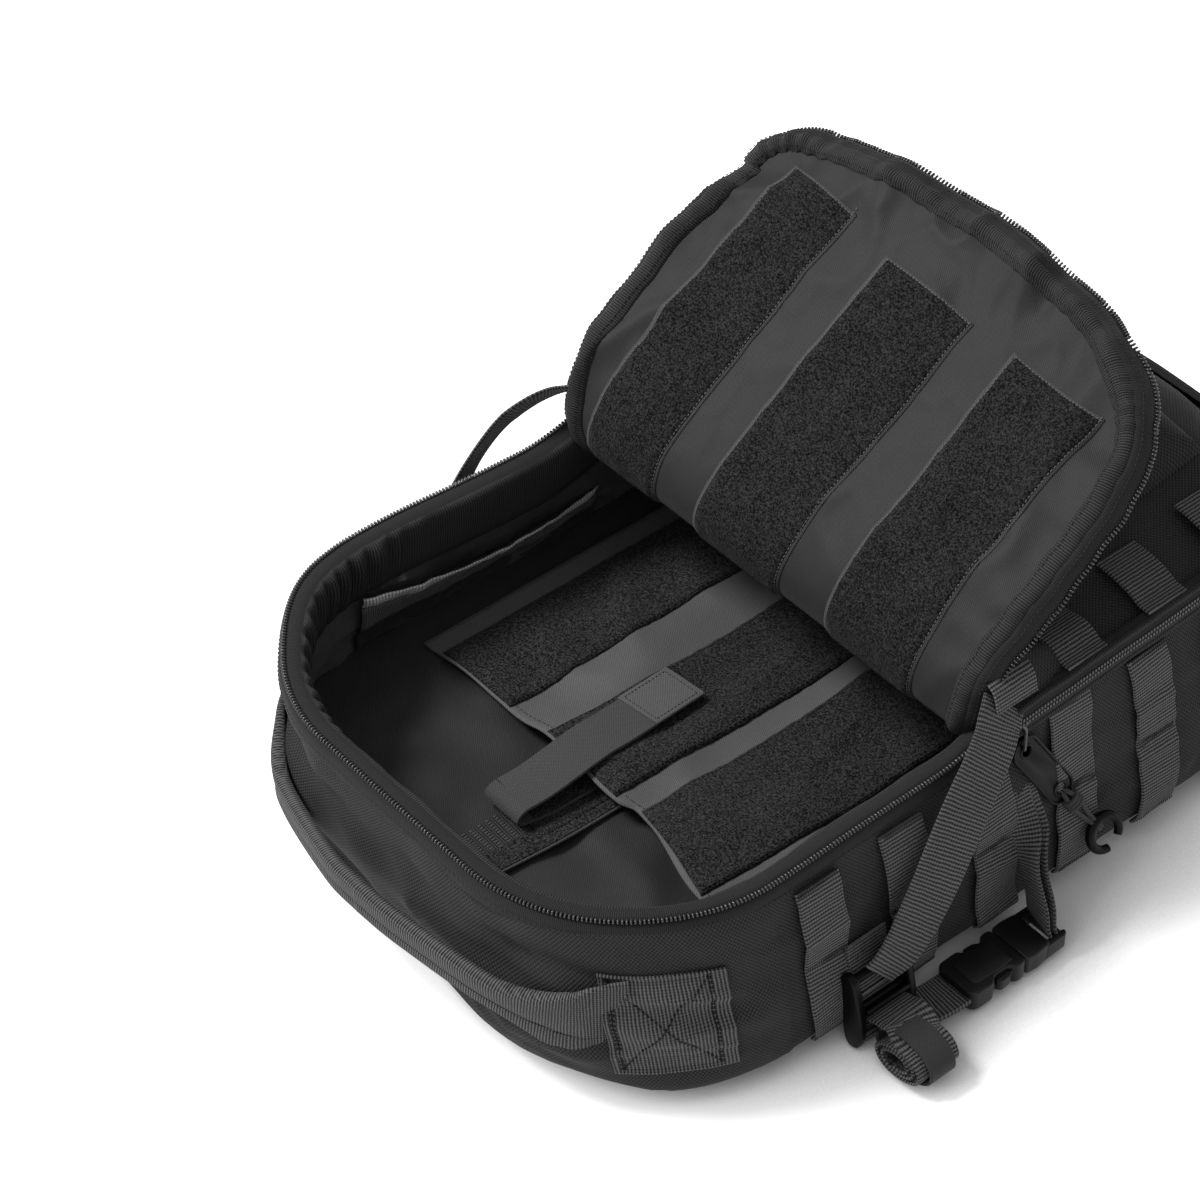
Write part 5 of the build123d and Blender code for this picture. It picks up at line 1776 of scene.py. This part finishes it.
def side_buckle(side):
    tag = "right" if side > 0 else "left"
    axes = (Vector((side * 182 * MM, 0, 8 * MM)), Vector((side, 0, 0)), Vector((0, 1, 0)), Vector((0, 0, 1)))
    body = rounded(mm((-12.2, -36), (-9.5, -38.4), (9.5, -38.4), (12.2, -36), (12.4, -25), (9.0, -22), (9.0, -13),
                      (12.4, -10),
                      (12.0, -4.2), (-12.0, -4.2), (-12.4, -10), (-9.0, -13), (-9.0, -22), (-12.4, -25)), 2.2 * MM)
    top = rounded(mm((-7.8, -33), (7.8, -33), (8.2, -8.5), (-8.2, -8.5)), 3 * MM)
    pieces = [slab("socket", body, -5.6 * MM, 5.6 * MM, axes, BUCKLE, 1.7 * MM, 4),
              slab("socket_top", top, 4.6 * MM, 6.3 * MM, axes, BUCKLE, 0.6 * MM)]
    finish_piece(joined("buckle_socket_" + tag, pieces), "bag", "buckle_plastic", "buckle_sockets")
    pieces = []
    prong = rounded(mm((9.3, -4), (11.0, -13), (12.3, -14.5), (12.7, -20.5), (10.2, -22.2), (9.2, -20), (7.0, -6)),
                    1.2 * MM)
    for sign in (-1, 1):
        pieces.append(slab("prong", [(u * sign, v) for u, v in prong], -2.9 * MM, 2.9 * MM, axes, BUCKLE, 0.8 * MM))
    collar = rounded(mm((-12.0, -3.6), (12.0, -3.6), (12.6, 3), (11.6, 12), (-11.6, 12), (-12.6, 3)), 2.2 * MM)
    pieces.append(slab("collar", collar, -5.4 * MM, 5.4 * MM, axes, BUCKLE, 1.8 * MM, 4))
    for sign in (-1, 1):
        arm = rounded([(u * sign, v) for u, v in mm((8.6, 9), (12.0, 9), (11.8, 22), (9.0, 23.6), (8.0, 20))],
                      1.6 * MM)
        pieces.append(slab("arm", arm, -4.4 * MM, 4.0 * MM, axes, BUCKLE, 1.3 * MM))
    bar = rounded(mm((-10, 19.0), (10, 19.0), (9.5, 23.4), (-9.5, 23.4)), 1.4 * MM)
    pieces.append(slab("bar", bar, -3.6 * MM, 1.2 * MM, axes, BUCKLE, 1.1 * MM))
    finish_piece(joined("buckle_plug_" + tag, pieces), "buckle_" + tag, "buckle_plastic", "buckle_male_" + tag)
    strap = spline([P(180, -58, 8.5, side), P(181.5, -50, 8.4, side), P(182, -42, 8.2, side), P(182, -35, 8, side)])
    finish_piece(ribbons("socket_strap_" + tag, [(strap, Vector((1, 0, 0)), WEB - 4 * MM, 3.0 * MM)], WEBBING), "bag",
                 "webbing",
                 "socket_webbing")
    turn_from, turn_to = Vector((0.1 * side, 1, 0)), Vector((side * 0.96, -0.28, 0.1))
    down = spline([P(152.6, 21, 74, side), P(156.5, 20.5, 64, side), P(163, 19, 52, side), P(171.5, 17.5, 38, side),
                   P(178.5, 16.6, 25, side), P(181.0, 16.2, 16, side), P(181.5, 17.4, 11.5, side)])
    back = [p + Vector((0, 3.4 * MM + 1.6 * MM * math.sin(math.pi * i / len(down)), 0)) for i, p in enumerate(down)]
    sides = [turn_from.lerp(turn_to, ramp(i / len(down), 0.05, 0.6)).normalized() for i in range(len(down))]
    finish_piece(ribbons("buckle_strap_" + tag, [(down, sides, WEB - 5 * MM, 1.5 * MM),
                                                 (back, sides, WEB - 5 * MM, 1.5 * MM)],
                         WEBBING), "bag", "webbing", "buckle_straps")


SIDE_LEAN = math.atan2(FOOT_HALF - RIM_HALF, 86 * MM)


def side_plane(y, up, off, side=1):
    """Place in front of the flat side wall: y along it, up it and off it, in metres."""
    x = FOOT_HALF - up * math.sin(SIDE_LEAN) + off * math.cos(SIDE_LEAN)
    return Vector((side * x, y, 14 * MM + up * math.cos(SIDE_LEAN) + off * math.sin(SIDE_LEAN)))


PULL_DRIFT = math.radians(30)


def zipper_pull(side):
    tag = "right" if side > 0 else "left"
    a = Vector((side * -math.sin(SIDE_LEAN) * -math.cos(PULL_DRIFT), math.sin(PULL_DRIFT),
                -math.cos(SIDE_LEAN) * math.cos(PULL_DRIFT)))
    c = Vector((side * math.cos(SIDE_LEAN), 0, math.sin(SIDE_LEAN)))
    b = c.cross(a).normalized()
    top = side_plane(26 * MM, 86 * MM, 4.2 * MM, side)
    axes = (top, a, b, c)
    tab = []
    for i in range(48):
        t = TAU * (i + 0.5) / 48
        tab.append((25 * MM + 18 * MM * (1 if math.cos(t) > 0 else -1) + 7.4 * MM * math.cos(t),
                    7.4 * MM * math.sin(t)))
    plate = ring_plate(tab, [(7 * MM, 2.7 * MM), (43 * MM, 3.0 * MM)], -1.0 * MM, 1.0 * MM, axes)
    pieces = [plate]
    rim = [axes[0] + a * u + b * v + c * 1.0 * MM for u, v in tab]
    rim_points, rim_faces, rim_uvs = tube_parts(rim + rim[:1], 0.75 * MM, 8)
    pieces.append(mesh_piece("pull_rim", rim_points, rim_faces, PULL, rim_uvs))
    for u, r in ((7 * MM, 3.3 * MM), (43 * MM, 3.6 * MM)):
        eye = [axes[0] + a * (u + r * math.cos(TAU * i / 20)) + b * r * math.sin(TAU * i / 20) + c * 0.9 * MM for i in range(21)]
        e_points, e_faces, e_uvs = tube_parts(eye, 0.7 * MM, 8)
        pieces.append(mesh_piece("pull_eye", e_points, e_faces, PULL, e_uvs))
    finish_piece(joined("zipper_pull_tab_" + tag, pieces), "pull_" + tag, "pull_rubber", "pull_tab_" + tag)
    loops = []
    for sign in (-1, 1):
        line = [(42, 0.3, -1.8), (45, 0.6, -1.2), (47.5, 1.2, 1.6), (50, 1.9, 2.8), (56, 2.6, 2.4), (64, 2.0, 2.2),
                (70, 1.3, 2.6), (74, 1.0, 4.2),
                (78.5, 0.8, 5.8), (79.5, 0.2, 3.0)]
        loops.append(tube_parts(spline([axes[0] + a * u * MM + b * v * sign * MM + c * w * MM for u, v, w in line],
                                       1 * MM), 1.15 * MM, 10))
    for u in (51, 53.6, 56.2):
        wrap = [axes[0] + a * (u + 0.5 * math.sin(TAU * i / 16)) * MM + b * 4.0 * math.cos(TAU * i / 16) * MM
                + c * (2.6 + 2.2 * math.sin(TAU * i / 16)) * MM for i in range(17)]
        loops.append(tube_parts(wrap, 1.15 * MM, 10))
    points, faces, uvs = join_parts(loops)
    finish_piece(mesh_piece("pull_cord_loop_" + tag, points, faces, CORD, uvs), "pull_" + tag, "cord",
                 "pull_cord_" + tag)
    ring = []
    for i in range(33):
        t = math.radians(28 + 304 * i / 32)
        ring.append(axes[0] + a * (84 + 8.6 * math.cos(t)) * MM + b * 8.6 * math.sin(t) * MM + c * (5.2 + 1.2 * math.cos(t)) * MM)
    points, faces, uvs = tube_parts(ring, lambda t: (2.1 + 0.35 * math.sin(math.pi * t)) * MM, 12)
    finish_piece(mesh_piece("pull_c_ring_" + tag, points, faces, PULL, uvs), "pull_" + tag, "buckle_plastic",
                 "pull_ring_" + tag)
    seat = side_plane(28 * MM, 98 * MM, 3.4 * MM, side)
    b2 = Vector((0, 1, 0))
    a2 = Vector((0, 0, 1))
    body = rounded(mm((-4.2, -6), (4.2, -6), (5.2, 1), (3.0, 7), (-3.0, 7), (-5.2, 1)), 2 * MM)
    s_axes = (seat, a2, b2, Vector((side, 0, 0)))
    parts = [slab("slider", body, -1.6 * MM, 2.2 * MM, s_axes, METAL, 0.8 * MM)]
    arch = [seat + b2 * (-4.6 + 9.2 * i / 12) * MM + Vector((side, 0,
                                                             0)) * (1.6 + 3.2 * math.sin(math.pi * i / 12)) * MM for i in range(13)]
    a_points, a_faces, a_uvs = tube_parts(arch, 1.0 * MM, 8)
    parts.append(mesh_piece("slider_arch", a_points, a_faces, METAL, a_uvs))
    link_path = spline([seat + b2 * -1.5 * MM + Vector((side * 4.0 * MM, 0, 0)),
                        seat + Vector((side * 5.2, 0.5, -4)) * MM,
                        axes[0] + a * 3.2 * MM + c * 2.4 * MM, axes[0] + a * 6.0 * MM + c * 0.2 * MM], 1 * MM)
    l_points, l_faces, l_uvs = tube_parts(link_path, 0.9 * MM, 8)
    parts.append(mesh_piece("slider_link", l_points, l_faces, METAL, l_uvs))
    finish_piece(joined("zipper_slider_body_" + tag, parts), "slider_" + tag, "slider_metal", "zipper_slider_" + tag)


def ring_plate(outline, holes, low, high, axes):
    """Flat plate with round holes, cut by a boolean and bevelled."""
    plate = slab("plate", outline, low, high, axes, PULL, 0)
    for u, r in holes:
        hole = [(u + r * math.cos(TAU * i / 20), r * math.sin(TAU * i / 20)) for i in range(20)]
        cutter = slab("cutter", hole, low * 2, high * 2, axes, PULL, 0)
        cut = plate.modifiers.new("hole", "BOOLEAN")
        cut.object = cutter
        cut.solver = "EXACT"
        bake(plate)
        bpy.data.objects.remove(cutter)
    edge = plate.modifiers.new("edges", "BEVEL")
    edge.width = 0.4 * MM
    edge.segments = 2
    bake(plate)
    return plate


for side in (-1, 1):
    ladder_lock(side)
    upper_strap(side)
    rolled_tail(side)
    side_buckle(side)
    zipper_pull(side)


# ---------------------------------------------------------------- back panel, pads and shoulder straps
def back_sheet():
    stations = outline_stations(5 * MM)
    rows = [[wall_point(s, 0) for s in stations]]
    for inset, z in mm((13, 1.6), (17, 3.2), (21, 8), (26, 12)):
        row = []
        for s in stations:
            place = outline_point(0, s, -inset)[0]
            place.z = z
            row.append(place)
        rows.append(row)
    for shrink in steps(0.94, 0.03, 0.05):
        row = []
        for p in rows[4]:
            q = Vector((p.x * shrink, lerp(15 * MM, p.y, shrink),
                        13.2 * MM + 0.5 * MM * rough(p.x * shrink * 30, p.y * shrink * 30)))
            row.append(q)
        rows.append(row)
    return sheet_piece("back_cloth", rows[::-1], SHELL, 0.0)


finish_piece(back_sheet(), "bag", "pack_cloth", "back_panel")


def pad_form(name, outline, low, high, channels, material):
    """Crowned pad from its outline, with its edge drawn in to a seam and shallow sewn channels."""
    xs = [p[0] for p in outline]
    ys = [p[1] for p in outline]
    middle = Vector(((min(xs) + max(xs)) / 2, (min(ys) + max(ys)) / 2, 0))
    centre = (low + high) / 2
    half = (high - low) / 2
    rings, points, faces, uvs = [], [], [], []
    many = len(outline)
    profile = [1.0, 0.985, 0.955, 0.91, 0.84, 0.74, 0.6, 0.44, 0.27, 0.1]

    def height(share, x, y):
        rise = half * (1 - share ** 5) ** 0.5
        for channel in channels:
            rise -= 1.8 * MM * math.exp(-(channel(x, y) / (2.2 * MM)) ** 2) * (1 - share ** 8)
        return rise
    for sign in (1, -1):
        for share in profile[1 if sign < 0 else 0:]:
            ring = []
            for x, y in outline:
                px, py = lerp(middle.x, x, share), lerp(middle.y, y, share)
                ring.append(len(points))
                points.append(Vector((px, py, centre + sign * height(share, px, py))))
                uvs.append((px, py + (0 if sign > 0 else 0.5)))
            rings.append((sign, ring))
        ring = rings[-1][1]
        points.append(Vector((middle.x, middle.y, centre + sign * height(0, middle.x, middle.y))))
        uvs.append((middle.x, middle.y))
        tip = len(points) - 1
        for j in range(many):
            k = (j + 1) % many
            faces.append((ring[j], ring[k], tip) if sign > 0 else (ring[k], ring[j], tip))
    top = [r for s, r in rings if s > 0]
    bottom = [top[0]] + [r for s, r in rings if s < 0]
    for stack, sign in ((top, 1), (bottom, -1)):
        for outer, inner in zip(stack, stack[1:]):
            for j in range(many):
                k = (j + 1) % many
                quad = (outer[j], outer[k], inner[k], inner[j])
                faces.append(quad if sign > 0 else quad[::-1])
    piece = mesh_piece(name, points, faces, material, uvs)
    smooth_mod = piece.modifiers.new("round", "SUBSURF")
    smooth_mod.levels = 1
    bake(piece)
    return piece


def resampled(outline, spacing):
    """Closed outline with evenly spaced places."""
    path = [Vector((*p, 0)) for p in outline] + [Vector((*outline[0], 0))]
    total = lengths(path)[-1]
    count = int(total / spacing)
    return [(p.x, p.y) for p, _ in along_path(path, total / count)]


def edge_piping(name, outline, z, body, slot):
    path = [Vector((x, y, z)) for x, y in outline]
    points, faces, uvs = tube_parts(path + path[:1], 1.5 * MM, 8)
    finish_piece(mesh_piece(name, points, faces, BINDING, uvs), body, slot)


def back_pads():
    for node, radius, lines in (("yoke_pad", 14, (0.0,)), ("lumbar_pad", 22, (-30.0, 0.0, 30.0))):
        low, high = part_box(node)
        box = rounded([(low.x, low.y), (high.x, low.y), (high.x, high.y), (low.x, high.y)], radius * MM, 8)
        outline = resampled(box, 4 * MM)
        mid = (low.y + high.y) / 2
        channels = [lambda x, y, off=off: y - mid - off * MM for off in lines]
        pad = pad_form(node + "_form", outline, low.z + 0.4 * MM, high.z - 0.2 * MM, channels, MESH_PAD)
        finish_piece(pad, "bag", "pad_mesh", node)
        edge_piping(node + "_piping", outline, (low.z + high.z) / 2, "bag", "binding_tape")


def harness(side):
    tag = "right" if side > 0 else "left"
    line = Vector((80, 333, 0)).normalized()
    out = Vector((line.y, -line.x, 0))
    start = Vector((38, -158, 0)) * MM

    def place(u, v, z=0.0):
        p = start + line * u * MM + out * v * MM
        return Vector((side * p.x, p.y, z * MM))
    outline = []
    for t in steps(0, 1, 0.04):
        outline.append((lerp(8, 242, t), 1 + 16 * math.sin(math.pi * t) + 2 * t))
    for t in steps(1, 0, 0.04):
        outline.append((lerp(8, 242, t), 45 + 28 * math.sin(math.pi * t)))
    flat = [(place(u, v).x, place(u, v).y) for u, v in outline]
    if side < 0:
        flat = flat[::-1]
    low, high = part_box("shoulder_strap_" + tag)
    flat = resampled(rounded(flat, 6 * MM, 3), 5 * MM)

    def middle_line(x, y):
        p = Vector((side * x, y, 0)) - start
        u, v = p.dot(line) / MM, p.dot(out) / MM
        return (v - (23 + 22 * math.sin(math.pi * clamp((u - 8) / 234)))) * MM
    pad = pad_form("shoulder_pad_" + tag, flat, low.z + 0.4 * MM, high.z - 0.4 * MM, [middle_line], MESH_PAD)
    finish_piece(pad, "harness_" + tag, "pad_mesh", "shoulder_strap_" + tag)
    edge_piping("shoulder_piping_" + tag, flat, (low.z + high.z) / 2, "harness_" + tag, "binding_tape")
    web = spline([place(236, 24, 7.4), place(262, 24, 8.2), place(290, 24, 7.0), place(318, 24, 7.0),
                  place(339, 24, 7.2)])
    over = spline([place(60, 34, 1.2), place(120, 42, 0.9), place(180, 34, 0.9), place(232, 26, 2.0),
                   place(252, 24, 4.4), place(262, 24, 5.0)])
    across = Vector((side * out.x, out.y, 0))
    finish_piece(ribbons("shoulder_webbing_" + tag, [(web, across, WEB, 1.8 * MM), (over, across, WEB, 1.6 * MM)],
                         WEBBING),
                 "harness_" + tag, "webbing", "strap_webbing_" + tag)
    axes = (place(260, 24, 6), Vector((side * line.x, line.y, 0)), across, Vector((0, 0, 1)))
    pieces = []
    for sign in (-1, 1):
        bar = rounded([(u, v * sign) for u, v in mm((-17, 12.9), (17, 12.9), (15, 16.6), (-15, 16.6))], 2 * MM)
        pieces.append(slab("side_bar", bar, -3 * MM, 3 * MM, axes, BUCKLE, 1.1 * MM))
    for u in (-15, 0, 15):
        bar = rounded(mm((u - 2.3, -14), (u + 2.3, -14), (u + 2.3, 14), (u - 2.3, 14)), 1 * MM)
        pieces.append(slab("cross_bar", bar, -2.6 * MM, 2.2 * MM, axes, BUCKLE, 0.9 * MM))
    finish_piece(joined("strap_slide_" + tag, pieces), "harness_" + tag, "buckle_plastic", "strap_adjuster_" + tag)


back_pads()
for side in (-1, 1):
    harness(side)

# ---------------------------------------------------------------- camera, floor and light
AZIMUTH = math.radians(49.51)
ELEVATION = math.radians(43.25)
DISTANCE = 1.4999
AIM = Vector((85.27, -165.56, 257.95)) * MM
LENS = 111.5


def camera():
    """Camera at the photographed angle, high and to the right of the top end."""
    back = Vector((math.sin(AZIMUTH) * math.cos(ELEVATION), -math.cos(AZIMUTH) * math.cos(ELEVATION),
                   math.sin(ELEVATION)))
    right = Vector((math.cos(AZIMUTH), math.sin(AZIMUTH), 0))
    up = back.cross(right)
    data = bpy.data.cameras.new("camera")
    data.lens = LENS
    data.sensor_width = 36
    data.clip_start = 0.05
    obj = link(bpy.data.objects.new("camera", data))
    obj.matrix_world = Matrix.Translation(AIM + back * DISTANCE) @ Matrix((right, up, back)).transposed().to_4x4()
    bpy.context.scene.camera = obj


def area_light(name, place, aim, size, power):
    data = bpy.data.lights.new(name, "AREA")
    data.shape = "DISK"
    data.size = size
    data.energy = power
    obj = link(bpy.data.objects.new(name, data))
    obj.location = place
    obj.rotation_euler = (Vector(aim) - Vector(place)).to_track_quat("-Z", "Y").to_euler()


# painted shadow: the floor glows, and its glow is cut where the object blocks open sky judged towards the key light,
# so the painted shade falls beyond the object
SHADE_LEAN = Vector((-0.34, -0.84, 0.42)).normalized()
SHADE_REACH = 0.11  # metres within which the object shades the floor
SHADE_FULL, SHADE_NONE = 0.55, 0.93  # open sky at full shade and at none
FLOOR_GLOW = 0.85
FLOOR_TONE = (0.50, 0.50, 0.50, 1)
FLOOR_HALF = 4
WHITE = (1, 1, 1, 1)
SKY_STRENGTH = 0.68
LIGHT_AIM = (0, 0, 0.05)


def stage():
    g = Graph("studio_floor")
    # the floor's glow is painted light: full in the open, cut to a painted shadow close to the object
    open_sky = g.node("ShaderNodeAmbientOcclusion", samples=8)
    open_sky.inputs["Distance"].default_value = SHADE_REACH
    lean = g.node("ShaderNodeCombineXYZ")
    for socket, value in zip(lean.inputs, SHADE_LEAN):
        socket.default_value = value
    g.put(open_sky.inputs["Normal"], lean.outputs[0])
    painted_floor_glow = g.node("ShaderNodeMapRange")
    g.put(painted_floor_glow.inputs["Value"], open_sky.outputs["AO"])
    painted_floor_glow.inputs["From Min"].default_value = SHADE_FULL
    painted_floor_glow.inputs["From Max"].default_value = SHADE_NONE
    painted_floor_glow.inputs["To Max"].default_value = FLOOR_GLOW
    g.put(g.shader.inputs["Emission Strength"], painted_floor_glow.outputs["Result"])
    g.surface(FLOOR_TONE, 0.9, None, Emission_Color=WHITE)
    points = [(x * FLOOR_HALF, y * FLOOR_HALF, 0) for x, y in ((-1, -1), (1, -1), (1, 1), (-1, 1))]
    floor = mesh_piece("studio_floor", points, [(0, 1, 2, 3)], g.material, shade=False)
    floor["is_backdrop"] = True
    world = bpy.data.worlds.new("studio")
    world.use_nodes = True
    world.node_tree.nodes["Background"].inputs["Color"].default_value = WHITE
    world.node_tree.nodes["Background"].inputs["Strength"].default_value = SKY_STRENGTH
    bpy.context.scene.world = world
    area_light("key", (-1.05, -1.02, 1.95), LIGHT_AIM, 0.7, 74)
    area_light("fill", (1.6, -1.8, 1.6), LIGHT_AIM, 1.6, 4)
    bpy.context.scene.view_settings.view_transform = "Standard"


camera()
stage()

boxes = {"cad": CAD_BOX, "visual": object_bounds()}
{k: [list(map(float, corner)) for corner in v] for k, v in boxes.items()}
